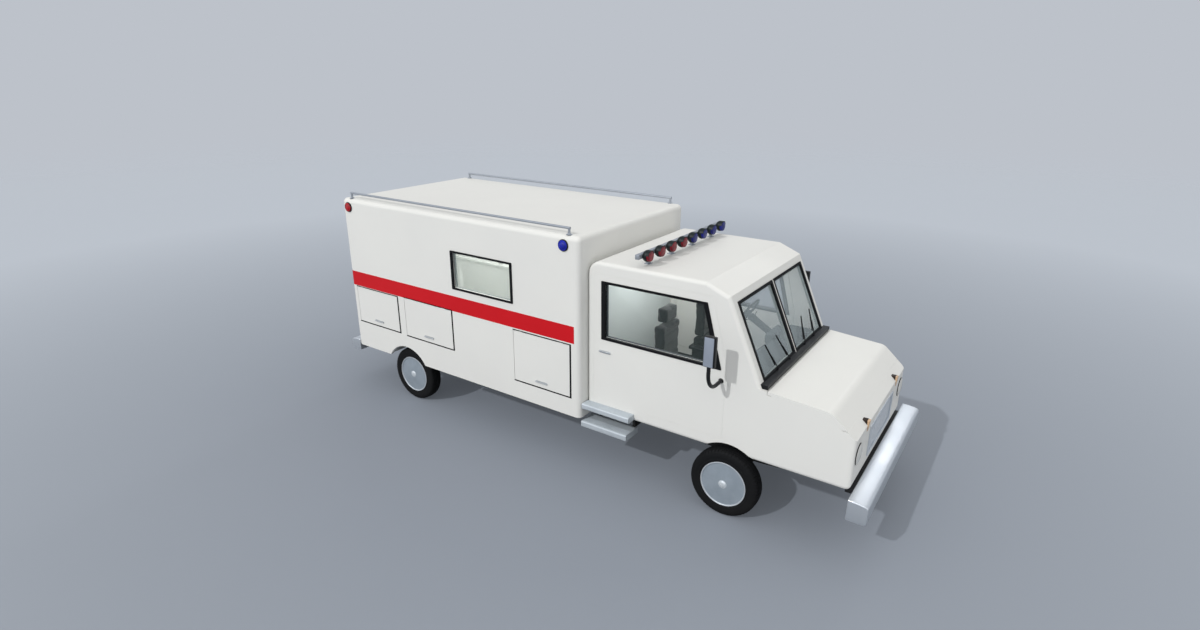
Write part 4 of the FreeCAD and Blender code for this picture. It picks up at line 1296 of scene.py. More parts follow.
@dataclass
class RoofGear:
    """Rail feet and the row of warning lamps over the cab."""

    feet_x: Point = (-3.300, 0.317)
    rail_y: float = -1.100
    roof_z: float = 2.7325
    bar: tuple[Spot, Spot] = ((1.060, -0.985, 2.555), (1.108, 0.985, 2.606))
    brackets: Span = (-0.747, -0.249, 0.249, 0.747)
    lamp_radius: float = 0.0625
    housing_back: float = 1.108
    lens_back: float = 1.158
    lens_front: float = 1.193
    lamp_z: float = 2.581
    pitch: float = 0.249
    count: int = 8
    visor_sweep: float = 78.0
    visor_reach: float = 0.083

    def build(self) -> None:
        """Make the feet and the lamps."""
        feet = Shape("roof_rail_feet")
        for x in self.feet_x:
            feet.lathe((x, self.rail_y, self.roof_z), (0, 0, 1), [
                (0, 0), (0, 0.034), (0.004, 0.034), (0.007, 0.030), (0.009, 0.018), (0.022, 0.0155),
                (0.022, 0.0)], segments=28)
        feet.mirrored().piece(RAIL_GREY)
        bar = Shape("lamp_crossbar")
        bar.block(*self.bar, 0.006)
        for y in self.brackets:
            bar.block((1.066, y - 0.022, 2.466), (1.102, y + 0.022, 2.560), 0.004)
            bar.block((1.052, y - 0.040, 2.463), (1.116, y + 0.040, 2.469), 0.0025)
        bar.piece(RAIL_GREY, replaces=["light_bar"])
        for index in range(self.count):
            self.lamp(index)

    def lamp(self, index: int) -> None:
        """One bullet-backed lamp under a visor: red on the right half of the row, blue on the left.

        Args:
            index: Its place in the row, from the right.
        """
        y = (index - (self.count - 1) / 2) * self.pitch
        r, depth = self.lamp_radius, self.lens_back - self.housing_back
        centre = Vector((self.housing_back, y, self.lamp_z))
        name = "roof_lamp_%d" % (index + 1)
        Shape(name + "_housing").lathe(centre, (1, 0, 0), [
            (-0.004, 0.0), (-0.004, r * 0.62), (0.004, r * 0.80), (0.018, r * 0.94), (0.032, r), (depth, r),
            (depth + 0.003, r - 0.002), (depth + 0.003, r - 0.008), (depth - 0.004, r - 0.009),
            (depth - 0.004, 0.0)]).piece(LAMP_BODY)
        self.visor(name, centre, depth)
        face = self.lens_front - self.housing_back
        Shape(name + "_lens").lathe(centre, (1, 0, 0), [
            (depth - 0.003, 0.0), (depth - 0.003, r - 0.0085), (depth + 0.004, r - 0.0085),
            (depth + 0.005, r - 0.005), (face - 0.012, r - 0.005), (face - 0.005, r - 0.009),
            (face - 0.002, r - 0.018), (face, 0.018), (face, 0.0)]).piece(LENS_WINE if y < 0 else LENS_NAVY,
                                replaces=["light_bar_lenses"] if index == 0 else [])

    def visor(self, name: str, centre: Vector, depth: float) -> None:
        """A thin hood over the upper part of a lens.

        Args:
            name: The lamp's name.
            centre: The middle of the back of its housing.
            depth: How far in front of that the housing ends.
        """
        inner, outer = self.lamp_radius - 0.0045, self.lamp_radius
        loops = []
        for k in range(19):
            turn = math.radians(-self.visor_sweep + 2 * self.visor_sweep * k / 18)
            lean = Vector((0, math.sin(turn), math.cos(turn)))
            reach = depth + (self.visor_reach - depth) * math.cos(turn / 2) ** 0.5
            section = ((depth - 0.006, inner), (reach - 0.001, inner), (reach, (inner + outer) / 2),
                       (reach - 0.001, outer), (depth - 0.006, outer))
            loops.append([centre + lean * radius + Vector((along, 0, 0)) for along, radius in section])
        Shape(name + "_visor").rings(loops).piece(LAMP_BODY)


# ---- cab
@dataclass
class CabTrim:
    """Window gaskets, windscreen, wipers, handles, seals and mirrors of the cab."""

    half: float = 1.000
    window: tuple[Point, ...] = ((0.669, 1.596), (2.097, 1.595), (1.906, 2.264), (0.664, 2.262))
    window_bars: tuple[float, ...] = (0.027, 0.046, 0.027, 0.048)
    doorway: tuple[Point, ...] = ((0.565, 0.850), (2.152, 0.850), (2.152, 1.650), (1.966, 2.340), (0.565, 2.340))
    screen_top: Point = (2.130, 2.360)
    screen_foot: Point = (2.515, 1.503)
    pane: Span = (0.006, 0.894, 0.076, 0.908)
    pane_bars: tuple[float, float] = (0.040, 0.032)
    pane_depth: float = 0.044
    arch_at: Point = (2.229, 0.400)
    arch_radius: float = 0.410
    sill: float = 0.720
    crease: Point = (3.197, 1.454)
    nose: Point = (3.440, 1.237)
    hood_skin: float = 0.030
    hood_lip: float = 1.315
    door_wall: float = 0.060
    handle: Spot = (0.644, 0.790, 1.452)
    apron: Spot = (0.430, 0.462, 0.716)
    apron_y: Point = (0.580, 0.588)

    def build(self) -> None:
        """Make everything."""
        slope = Vector((self.screen_top[0] - self.screen_foot[0], 0, self.screen_top[1] - self.screen_foot[1]))
        up = slope.normalized()
        out = Vector((0, 1, 0)).cross(up)
        self.screen = Plane(Vector((self.screen_top[0], 0, self.screen_top[1])), Vector((0, 1, 0)), up,
                            out if out.x > 0 else -out)
        for side in Side:
            self.side_window(side)
            self.door_seal(side)
            self.door_handle(side)
            self.screen_gasket(side)
            self.arch_lining(side)
            Mirror(side).build()
        self.mullion()
        self.hood_seal()
        Wipers(self.screen).build()

    def side_window(self, side: Side) -> None:
        """The black gasket of the door's window, with a plain trim inside.

        Args:
            side: The side it is on.
        """
        body = "cab_door_" + side.label
        plane = Plane.flank(side, self.half)
        Shape(body + "_gasket").border(
            plane, self.window, self.window_bars, gasket(0.009, 0.024), corner=0.010).piece(BLACK_RUBBER, body)
        Shape(body + "_inner_trim").border(
            plane.inward(self.door_wall), self.window, self.window_bars, gasket(0.010, 0.022),
            corner=0.010).piece(DASH_PLASTIC, body)

    def door_seal(self, side: Side) -> None:
        """A body-coloured seal that closes the gap round the door.

        Args:
            side: The side it is on.
        """
        section = [(0, 0.0002, -0.003), (0, 0.0002, -0.0008), (1, 0, -0.0008), (1, 0, -0.003)]
        Shape("cab_door_seal_" + side.label).border(
            Plane.flank(side, self.half), self.doorway, [0.0054] * 5,
            section).piece(WHITE, "cab_door_" + side.label)

    def door_handle(self, side: Side) -> None:
        """A slim pull over a flat black strip that paints the shade of a finger recess, in front of the door's
        rear edge.

        Args:
            side: The side it is on.
        """
        body = "cab_door_" + side.label
        plane = Plane.flank(side, self.half)
        x0, x1, z = self.handle
        Shape(body + "_handle_plate").slab(
            plane, rectangle(x0, x1, z - 0.015, z + 0.015), 0.0, 0.0025, 0.001,
            corner=0.007).piece(HANDLE_METAL, body)
        # A flat black strip on the plate, not a hollow: it paints the shade of a finger recess under the pull.
        Shape(body + "_handle_recess").slab(
            plane, rectangle(x0 + 0.010, x1 - 0.010, z - 0.012, z - 0.004), 0.002, 0.0032,
            0.0005).piece(BLACK_PLASTIC, body)
        grip = Shape(body + "_handle")
        for x in (x0 + 0.014, x1 - 0.014):
            grip.slab(plane, rectangle(x - 0.009, x + 0.009, z - 0.002, z + 0.009), 0.002, 0.018, 0.002)
        grip.slab(plane, rectangle(x0 + 0.003, x1 - 0.003, z - 0.003, z + 0.012), 0.014, 0.024, 0.003,
                  corner=0.006, back=0.003)
        grip.piece(CHROME, body)

    def arch_lining(self, side: Side) -> None:
        """A black band on the cut edge of the front wheel's arch, and an apron behind the wheel.

        Args:
            side: The side it is on.
        """
        x, z = self.arch_at
        reach = math.acos((self.sill - z) / self.arch_radius)
        outer = self.arch_radius - 0.0004
        inner, near, far = outer - 0.0025, self.half - 0.0035, self.half - 0.059
        turns = [-reach + 2 * reach * k / 40 for k in range(41)]
        loops = [[Vector((x + math.sin(t) * r, side.y(y), z + math.cos(t) * r))
                  for r, y in ((outer, near), (inner, near), (inner, far), (outer, far))] for t in turns]
        Shape("wheel_arch_lining_" + side.label).rings(loops).piece(BLACK_RUBBER)
        reach, low, high = self.apron
        Shape("splash_apron_" + side.label).slab(
            Plane.flank(side, 0.0), rectangle(x - reach, x + reach, low, high), *self.apron_y, 0.003,
            corner=0.040).piece(CHASSIS_BLACK)

    def screen_gasket(self, side: Side) -> None:
        """The black gasket of one windscreen pane, wider beside the middle strip.

        Args:
            side: The side it is on.
        """
        near, far, top, foot = self.pane
        left, right = sorted((side.y(near), side.y(far)))
        wide, bar = self.pane_bars
        bars = [bar, wide, bar, bar] if side is Side.RIGHT else [bar, bar, bar, wide]
        Shape("windscreen_gasket_" + side.label).border(
            self.screen, rectangle(left, right, -foot, -top), bars, gasket(0.010, 0.012),
            corner=0.010).piece(BLACK_RUBBER)
        lip = [(1, 0, -0.0122), (1, 0, -self.pane_depth), (1, -0.004, -self.pane_depth), (1, -0.004, -0.0122)]
        Shape("windscreen_seal_" + side.label).border(
            self.screen, rectangle(left, right, -foot, -top), bars, lip, corner=0.010).piece(SEAL_GREY)

    def mullion(self) -> None:
        """The body-coloured strip between the two panes."""
        near, _, top, foot = self.pane
        Shape("windscreen_mullion").slab(
            self.screen, rectangle(-near - 0.001, near + 0.001, -foot, -top), 0.0, 0.0115, 0.003).piece(WHITE)

    def hood_seal(self) -> None:
        """Body-coloured strips that close the gaps under the hood's sides and along its lower edge."""
        foot, crease, nose = Vector(self.screen_foot), Vector(self.crease), Vector(self.nose)
        strip = Shape("hood_seal")
        edges = []
        for depth in (self.hood_skin + 0.0002, self.hood_skin + 0.0058):
            run, fall = (crease - foot).normalized(), (nose - crease).normalized()
            outline = [foot, crease, nose, Vector((nose.x, 0.7)), Vector((foot.x, 0.7))]
            low = inset([tuple(point) for point in outline], [depth] * 5)
            start = Vector(low[0]) + run * 0.072
            end = Vector(low[1]) + fall * ((low[1][1] - self.hood_lip) / -fall.y)
            edges.append([tuple(start), low[1], tuple(end)])
        side = edges[0] + edges[1][::-1]
        for way in Side:
            strip.slab(Plane.flank(way, 0.9), side, 0.085, 0.0996, 0.0005)
        fall = (nose - crease).normalized()
        slope = Plane(Vector((crease.x, 0, crease.y)), Vector((0, 1, 0)), Vector((fall.x, 0, fall.y)),
                      Vector((-fall.y, 0, fall.x)))
        near, far = ((crease.y - z) / -fall.y for z in (1.3178, 1.3122))
        strip.slab(slope, rectangle(-0.996, 0.996, near, far), -0.004, -0.0003, 0.0005)
        strip.piece(WHITE)


@dataclass
class Wipers:
    """Four upright wipers that rest on the windscreen, each turning on a stud over the cowl."""

    screen: Plane
    lift: float = 0.010
    width: float = 0.0058
    strokes: tuple[tuple[Point, Point], ...] = (
        ((-0.562, -0.890), (-0.647, -0.600)), ((-0.225, -0.900), (-0.344, -0.597)),
        ((0.255, -0.893), (0.413, -0.610)), ((0.569, -0.890), (0.690, -0.607)))

    def build(self) -> None:
        """Make each wiper's arm, blade and pivot."""
        for index, (foot, tip) in enumerate(self.strokes, 1):
            self.wiper(index, Vector(foot), Vector(tip))

    def wiper(self, index: int, foot: Vector, tip: Vector) -> None:
        """One wiper.

        Args:
            index: Its place from the right.
            foot: Its pivot in the windscreen's plane.
            tip: Its blade's upper end in the windscreen's plane.
        """
        at, run, w = self.screen.at, tip - foot, self.width
        middle, low = foot + run * 0.55, foot + run * 0.16
        arm = Shape("wiper_%d_arm" % index)
        arm.tube([at(*foot, self.lift + 0.014), at(*(foot + run * 0.12), self.lift + 0.016),
                  at(*middle, self.lift + 0.011)], [w, w, w * 0.9], sides=12)
        arm.lathe(at(*foot, self.lift - 0.008), self.screen.out, [
            (0, 0), (0, 0.012), (0.018, 0.011), (0.024, 0.008), (0.026, 0.0)], segments=18)
        arm.piece(BLACK_RUBBER)
        blade = Shape("wiper_%d_blade" % index)
        blade.tube([at(*low, self.lift + 0.002), at(*middle, self.lift + 0.006), at(*tip, self.lift + 0.003)],
                   [w * 0.7, w, w * 0.85], sides=10)
        blade.tube([at(*low, self.lift - 0.003), at(*tip, self.lift - 0.003)], 0.0032, sides=6)
        blade.piece(BLACK_RUBBER)


@dataclass
class Mirror:
    """A door mirror: an upright head on a hooked tube."""

    side: Side
    x: float = 2.100
    head_out: float = 1.313
    head_y: float = 1.290
    foot_y: float = 1.000
    foot_z: float = 1.484
    bend: float = 0.190
    tube: float = 0.0195
    head: Span = (2.050, 2.170, 1.756, 2.065)

    def build(self) -> None:
        """Make the arm, the head and its glass."""
        body = "cab_door_" + self.side.label
        s = self.side.value
        x, out, z = self.x, self.head_out, self.foot_z
        centre = Vector((x, s * (out - self.bend), z + self.bend))
        curve = arc(centre, Vector((0, s * self.bend, 0)), Vector((0, 0, -self.bend)), 12)
        path = [Vector((x, s * out, self.head[2] + 0.015)), *curve, Vector((x, s * (self.foot_y + 0.006), z))]
        arm = Shape("mirror_arm_" + self.side.label).tube(path, self.tube, sides=20)
        arm.lathe((x, s * self.foot_y, z), (0, s, 0), [
            (0, 0), (0, 0.027), (0.005, 0.027), (0.008, 0.023), (0.012, 0.015), (0.020, 0.0135), (0.020, 0)],
            segments=28)
        arm.piece(BLACK_PLASTIC, body, replaces=["mirror_" + self.side.label])
        left, right, low, high = self.head
        plane = Plane.flank(self.side, self.head_y)
        Shape("mirror_shell_" + self.side.label).slab(
            plane, rectangle(*self.head), 0.0, 0.056, 0.004, corner=0.010,
            back=0.018).piece(BLACK_PLASTIC, body)
        Shape("mirror_face_" + self.side.label).slab(
            plane, rectangle(left + 0.005, right - 0.018, low + 0.006, high - 0.010), 0.054, 0.0595, 0.001,
            corner=0.004).piece(MIRROR_FACE, body)


# ---- nose
@dataclass
class Nose:
    """Grille, headlamps and turn lamps."""

    face: float = 3.440
    grille: Span = (-0.470, 0.470, 0.831, 1.165)
    rim: float = 0.014
    pitch: float = 0.0155
    wire: float = 0.0058
    lamp: Point = (0.855, 1.053)
    lamp_radius: float = 0.106
    crease: Point = (3.197, 1.454)
    brow_z: float = 1.237
    turn_lamp_y: float = 0.563
    turn_lamp_z: Point = (1.170, 1.286)
    turn_lamp_width: float = 0.054
    turn_lamp_proud: float = 0.014
    turn_lamp_thick: float = 0.022

    def build(self) -> None:
        """Make everything."""
        self.plane = Plane.end(self.face, 1.0)
        self.mesh_grille()
        for side in Side:
            self.headlamp(side)
            self.turn_lamp(side)

    def mesh_grille(self) -> None:
        """A bright frame round a wire mesh on a dark backing."""
        (left, right, low, high), width = self.grille, 2 * self.rim
        section = [(0, 0, 0.0), (0, 0, 0.008), (0, 0.003, 0.012), (1, -0.004, 0.012), (1, 0, 0.008),
                   (1, 0, -0.018), (1, -0.004, -0.018), (1, -0.004, 0.0)]
        Shape("grille_frame").border(
            self.plane, rectangle(left, right, low, high), [width] * 4, section,
            corner=0.012).piece(POLISHED, replaces=["grille"])
        left, right, low, high = left + width, right - width, low + width, high - width
        wires = Shape("grille_mesh")
        w = self.wire / 2
        count = int((right - left) / self.pitch)
        for k in range(1, count):
            y = left + (right - left) * k / count
            wires.slab(self.plane, rectangle(y - w, y + w, low, high), -0.012, -0.004, 0.0015)
        count = int((high - low) / self.pitch)
        for k in range(1, count):
            z = low + (high - low) * k / count
            wires.slab(self.plane, rectangle(left, right, z - w, z + w), -0.010, -0.0025, 0.0015)
        wires.piece(GRILLE_GREY)
        Shape("grille_backing").slab(
            self.plane, rectangle(left - 0.010, right + 0.010, low - 0.010, high + 0.010), -0.022, -0.016,
            0.001).piece(GRILLE_DARK)

    def headlamp(self, side: Side) -> None:
        """A round headlamp in a thin black ring: bowl, bulb and domed lens.

        Args:
            side: The side it is on.
        """
        y, z = self.lamp
        centre, r = (self.face, side.y(y), z), self.lamp_radius
        rings = (
            ("ring", WHITE, [
                (-0.002, r - 0.010), (-0.002, r - 0.0014), (0.009, r - 0.0014), (0.010, r - 0.003),
                (0.0095, r - 0.006), (0.0025, r - 0.010), (-0.002, r - 0.010)]),
            ("seal", BLACK_RUBBER, [
                (-0.002, r - 0.0012), (-0.002, r), (0.009, r), (0.009, r - 0.0012), (-0.002, r - 0.0012)]),
            ("bowl", CHROME, [
                (0.0, 0.0), (0.0, r - 0.013), (0.003, r - 0.011), (0.002, r - 0.016), (0.001, 0.050),
                (0.002, 0.020), (0.010, 0.014), (0.013, 0.0)]),
            ("lens", LAMP_GLASS, [
                (0.001, r - 0.009), (0.006, r - 0.0095), (0.011, r - 0.016), (0.017, r - 0.034), (0.021, 0.046),
                (0.0235, 0.020), (0.024, 0.0), (0.0215, 0.0), (0.019, 0.046), (0.015, r - 0.034),
                (0.001, r - 0.0115)]),
        )
        replaces = ["front_lamps"] if side is Side.RIGHT else []
        for label, finish, profile in rings:
            Shape("headlamp_%s_%s" % (side.label, label)).lathe(centre, (1, 0, 0), profile, segments=64).piece(
                finish, replaces=replaces)
            replaces = []

    def turn_lamp(self, side: Side) -> None:
        """An amber lamp in a dark wedge on the nose's upper crease.

        Args:
            side: The side it is on.
        """
        (foot, top), proud = self.turn_lamp_z, self.turn_lamp_proud
        slope = (self.face - self.crease[0]) / (self.crease[1] - self.brow_z)
        slope_x = self.face - (top - self.brow_z) * slope
        split_x = self.face + proud - self.turn_lamp_thick
        housing = [(self.face - 0.006, foot), (self.face - 0.002, foot), (split_x, top), (slope_x - 0.003, top),
                   (self.face - 0.006, self.brow_z - 0.004)]
        Shape("turn_lamp_housing_" + side.label).slab(
            Plane.flank(side, self.turn_lamp_y), housing, 0.0, self.turn_lamp_width, 0.0006).piece(LAMP_BROWN)
        lens = [(self.face - 0.002, foot + 0.002), (self.face + 0.002, foot + 0.002),
                (self.face + proud, top - 0.004), (split_x, top - 0.001)]
        Shape("turn_lamp_lens_" + side.label).slab(
            Plane.flank(side, self.turn_lamp_y + 0.001), lens, 0.0, self.turn_lamp_width - 0.002,
            0.0006).piece(LENS_AMBER)


@dataclass
class Bumpers:
    """Bright bumpers: bars with crowned faces, large outer corners and softened ends."""

    front: tuple[float, ...] = (3.465, 3.655, 1.150, 0.513, 0.730)
    rear: tuple[float, ...] = (-3.475, -3.655, 1.130, 0.498, 0.673)
    between: tuple[float, ...] = (0.22, 0.36, 0.5, 0.64, 0.78)
    crown: float = 0.005
    drop: float = 0.022
    outer: float = 0.024
    inner: float = 0.010
    end: float = 0.009
    steps: int = 6

    def build(self) -> None:
        """Make the front and the rear bar."""
        self.bar("front_bumper", *self.front, ["bumpers"])
        self.bar("rear_bumper", *self.rear, [])

    def section(self, back: float, face: float, low: float, high: float) -> list[Point]:
        """The bar's outline from the side.

        Args:
            back: X of its back.
            face: X of its face.
            low: Its lowest Z.
            high: Its highest Z.

        Returns:
            Points (x, z) round it.
        """
        way = 1.0 if face > back else -1.0
        length, height = abs(face - back), high - low
        flat = [(0.0, self.crown), (length - self.crown, self.crown), (length - self.crown, height - self.crown),
                (0.0, height - self.crown)]
        sharp, blunt = softened(flat, self.inner, self.steps), softened(flat, self.outer, self.steps)
        span = self.steps + 1
        outline = []
        for corner, arcs in enumerate((sharp, blunt, blunt, sharp)):
            outline += arcs[corner * span:(corner + 1) * span]
            if corner < 3:
                (u0, w0), (u1, w1) = flat[corner], flat[corner + 1]
                outline += [(u0 + (u1 - u0) * share, w0 + (w1 - w0) * share) for share in self.between]
        points = []
        for u, w in outline:
            a, b = 2 * u / (length - self.crown) - 1, 2 * (w - self.crown) / (height - 2 * self.crown) - 1
            u += self.crown * max(0.0, a) * (1 - b * b)
            w += self.crown * b * (1 - a * a) if b < 0 else self.crown * b - self.drop * b * ((1 + a) / 2) ** 2
            points.append((back + way * u, low + w))
        return points

    def bar(self, name: str, back: float, face: float, half: float, low: float, high: float,
            replaces: Sequence[str]) -> None:
        """One bar.

        Args:
            name: Its name.
            back: X of its back.
            face: X of its face.
            half: Half its length.
            low: Its lowest Z.
            high: Its highest Z.
            replaces: Frame nodes that it stands for.
        """
        outline = self.section(back, face, low, high)
        turns = [math.radians(15 * k) for k in range(6, -1, -1)]
        rows = [(self.end * (1 - math.sin(t)), self.end * (1 - math.cos(t))) for t in turns]
        ends = [(-half + gone, move) for gone, move in rows]
        ends += [(half - gone, move) for gone, move in reversed(rows)]
        loops = []
        for y, move in ends:
            shrunk = inset(outline, [move] * len(outline)) if move else outline
            loops.append([Vector((x, y, z)) for x, z in shrunk])
        Shape(name).rings(loops).piece(POLISHED, replaces=replaces)


# ---- wheels
@dataclass
class Wheel:
    """A treaded tyre on a pressed disc wheel."""

    place: str
    side: Side
    lugs: int = 60
    groove: float = 0.006
    wall: float = 0.133

    def build(self) -> None:
        """Make the tyre and the rim."""
        self.name = "%s_%s" % (self.place, self.side.label)
        low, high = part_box("tyre_" + self.name)
        self.centre = Vector([(a + b) / 2 for a, b in zip(low, high)])
        self.radius = (high[2] - low[2]) / 2
        self.half = (high[1] - low[1]) / 2
        self.body = "wheel_" + self.name
        self.tyre()
        self.rim()

    def tyre(self) -> None:
        """The tyre: bulging walls with raised ribs, and a tread of grooved lugs."""
        r, h = self.radius, self.half
        deep = self.groove
        half_profile = [
            (0.0, r, 0), (0.005, r, 0), (0.0065, r - deep, 0), (0.0105, r - deep, 0),
            (0.012, r - 0.0002, 0), (0.032, r - 0.0010, 1), (0.0335, r - deep, 0), (0.0385, r - deep, 0),
            (0.040, r - 0.0016, 1), (0.056, r - 0.0040, 1), (0.067, r - 0.0080, 1), (0.076, r - 0.016, 1),
            (h - 0.0060, r - 0.028, 1), (h - 0.0028, r - 0.042, 0), (h - 0.0008, r - 0.056, 0),
            (h, r - 0.066, 0), (h - 0.0004, r - 0.076, 0), (h - 0.0022, r - 0.084, 0),
            (h - 0.0024, r - 0.095, 0), (h - 0.0008, r - 0.098, 0), (h - 0.0014, r - 0.103, 0),
            (h - 0.0048, r - 0.112, 0), (h - 0.0080, r - 0.122, 0), (h - 0.0100, r - 0.133, 0)]
        profile = [(-y, radius, lug) for y, radius, lug in reversed(half_profile[1:])] + half_profile
        pitch, edges = math.tau / self.lugs, ((0.0, True), (0.11, True), (0.14, False), (0.97, False))
        stations = [(pitch * (k + share), sunk) for k in range(self.lugs) for share, sunk in edges]
        loops = [[self.centre + Vector((math.cos(t) * (radius - deep * lug * sunk), y,
                                        math.sin(t) * (radius - deep * lug * sunk)))
                  for t, sunk in stations] for y, radius, lug in profile]
        Shape("tyre_tread_" + self.name).rings(loops, caps=False).piece(
            TYRE_RUBBER, self.body, replaces=["tyre_" + self.name])

    def rim(self) -> None:
        """The barrel with its gently domed disc, a brighter rolled lip, and the centre cap on a collar."""
        r = self.radius - self.wall
        turned = (
            ("wheel_disc_", WHEEL_DISC, 96, ["rim_" + self.name], [
                (-0.078, r - 0.012), (-0.078, r + 0.001), (0.076, r + 0.001), (0.079, r - 0.003),
                (0.077, r - 0.009), (0.0775, r - 0.020), (0.0785, r - 0.060), (0.0815, 0.135), (0.0840, 0.100),
                (0.0855, 0.070), (0.0865, 0.036), (0.0868, 0.0), (0.070, 0.0), (0.070, 0.085), (0.062, r - 0.034),
                (0.052, r - 0.012)]),
            ("wheel_lip_", WHEEL_LIP, 96, [], [
                (0.074, r - 0.006), (0.082, r - 0.0065), (0.0865, r - 0.003), (0.0885, r + 0.002),
                (0.0875, r + 0.006), (0.0835, r + 0.0085), (0.078, r + 0.007), (0.074, r + 0.002),
                (0.074, r - 0.006)]),
            ("hub_cap_", HUB_METAL, 48, [], [
                (0.084, 0.0), (0.084, 0.046), (0.0880, 0.0455), (0.0890, 0.040), (0.0910, 0.036), (0.0945, 0.031),
                (0.0970, 0.022), (0.0978, 0.010), (0.098, 0.0)]),
        )
        for label, finish, segments, replaces, profile in turned:
            Shape(label + self.name).lathe(self.centre, (0, self.side.value, 0), profile, segments).piece(
                finish, self.body, replaces)


# ---- cabin
@dataclass
class Cabin:
    """Seats, dashboard fittings and steering wheel."""

    seat_y: float = 0.500
    pads: tuple[tuple[str, Spot, Spot, int], ...] = (
        ("seat_cushion", (1.100, -0.218, 1.178), (1.552, 0.218, 1.296), 3),
        ("seat_back", (1.144, -0.224, 1.286), (1.268, 0.224, 1.796), 3),
        ("headrest", (1.142, -0.139, 1.778), (1.262, 0.139, 1.950), 0))
    seat_boxes: tuple[tuple[float, ...], ...] = (
        (1.115, 1.475, 0.165, 0.767, 1.150), (1.092, 1.545, 0.215, 1.140, 1.182))
    posts: Span = (1.202, 0.055, 1.760, 1.830)
    cell: float = 0.013
    slack: float = 0.94
    filling: tuple[tuple[str, float], ...] = (
        ("quality", 6), ("mass", 0.3), ("tension_stiffness", 18.0), ("compression_stiffness", 18.0),
        ("bending_stiffness", 0.4), ("use_pressure", True), ("uniform_pressure_force", 4.0))
    frames: int = 20
    cap: float = 0.024
    channel: Point = (0.045, 0.007)
    piping: Spot = (0.90, 0.035, 0.004)
    hub: Spot = (1.730, 0.500, 1.678)
    column_axis: Spot = (-0.86, 0.0, 0.51)
    grip_radius: float = 0.200
    dash_face: float = 2.034
    dial_spacing: float = 0.090
    dial_z: float = 1.487
    vents: Span = (-0.620, -0.120, 0.120, 0.820)
    pedals: tuple[Point, ...] = ((-0.130, 0.026), (0.0, 0.036), (0.120, 0.036))
    lining: tuple[float, Span] = (0.480, (-0.900, 0.900, 0.900, 2.330))
    lamps: tuple[tuple[str, Span, float], ...] = (
        ("cab_ceiling_lamp", (0.700, 1.750, -0.650, 0.650), 2.402),
        ("box_ceiling_lamp_front", (-1.600, -0.300, -0.600, 0.600), 2.682),
        ("box_ceiling_lamp_rear", (-3.100, -2.000, -0.600, 0.600), 2.682),
    )

    def build(self) -> None:
        """Make everything."""
        self.axis = Vector(self.column_axis).normalized()
        self.seats()
        self.instruments()
        self.dash_vents()
        self.controls()
        self.column()
        self.wheel()
        self.rear_lining()
        self.ceiling_lamps()

    def seats(self) -> None:
        """Both seats: cushion, back and headrest on a base. The pads are sewn once and set on each side."""
        sewn = [(name, self.pad(Vector(low), Vector(high), seams)) for name, low, high, seams in self.pads]
        stands_for = ["cab_seats"]
        for side in Side:
            for name, mesh in sewn:
                shape = Shape("%s_%s" % (name, side.label))
                shape.mesh.from_mesh(mesh)
                for vert in shape.mesh.verts:
                    vert.co.y += side.y(self.seat_y)
                made = shape.piece(SEAT_CLOTH, replaces=stands_for, smooth=180.0)
                stands_for = []
            self.seat_base(side)
        for _, mesh in sewn:
            bpy.data.meshes.remove(mesh)

    def pad(self, low: Vector, high: Vector, seams: int) -> bpy.types.Mesh:
        """A cushion, blown up by a cloth simulation, with channels sewn across it and piping round its edge.

        Args:
            low: Its lowest corner.
            high: Its highest corner.
            seams: How many channels are sewn across it.

        Returns:
            Its mesh.
        """
        middle, half = (low + high) / 2, (high - low) / 2
        thin = min(range(3), key=lambda k: half[k])
        long_way = 0 if thin == 2 else 2
        mesh = bmesh.new()
        self.grid(mesh, middle, half * self.slack)
        rest = [vert.co.copy() for vert in mesh.verts]
        data = bpy.data.meshes.new("pad")
        mesh.to_mesh(data)
        mesh.free()
        data = self.blown(data)
        for vert, start in zip(data.vertices, rest):
            move = vert.co - start
            if move.length > self.cap:
                vert.co = start + move * (self.cap / move.length)
            for k in range(3):
                vert.co[k] = max(low[k], min(high[k], vert.co[k]))
        (seam_width, seam_depth), (rim_at, rim_width, rim_depth) = self.channel, self.piping
        for vert in data.vertices:
            u = [(vert.co[k] - middle[k]) / half[k] for k in range(3)]
            face = min(1.0, abs(u[thin]) * 1.6)
            sunk = sum(math.exp(-((u[long_way] - (2 * s / (seams + 1) - 1)) / seam_width) ** 2)
                       for s in range(1, seams + 1))
            rim = math.exp(-((max(abs(u[k]) for k in range(3) if k != thin) - rim_at) / rim_width) ** 2)
            vert.co[thin] -= math.copysign((seam_depth * sunk + rim_depth * rim) * face, u[thin])
        pad = placed("pad", data)
        pad.modifiers.new("smooth", "SUBSURF").levels = 1
        return settled(pad)

    def grid(self, mesh: bmesh.types.BMesh, middle: Vector, half: Vector) -> None:
        """Fill a mesh with a box of even cells whose sides pull in between its rounded corners.

        Args:
            mesh: The mesh to fill.
            middle: The box's middle.
            half: Half its size.
        """
        counts = [max(4, round(2 * half[k] / self.cell)) for k in range(3)]
        made = {}
        for axis in range(3):
            a, b = (k for k in range(3) if k != axis)
            for level, i, j in product((0, counts[axis]), range(counts[a]), range(counts[b])):
                face = []
                for di, dj in ((0, 0), (1, 0), (1, 1), (0, 1)):
                    cell = [0, 0, 0]
                    cell[axis], cell[a], cell[b] = level, i + di, j + dj
                    key = tuple(cell)
                    if key not in made:
                        u = [2.0 * cell[k] / counts[k] - 1.0 for k in range(3)]
                        made[key] = mesh.verts.new(middle + self.pulled(u, half))
                    face.append(made[key])
                mesh.faces.new(face)
        bmesh.ops.recalc_face_normals(mesh, faces=mesh.faces[:])

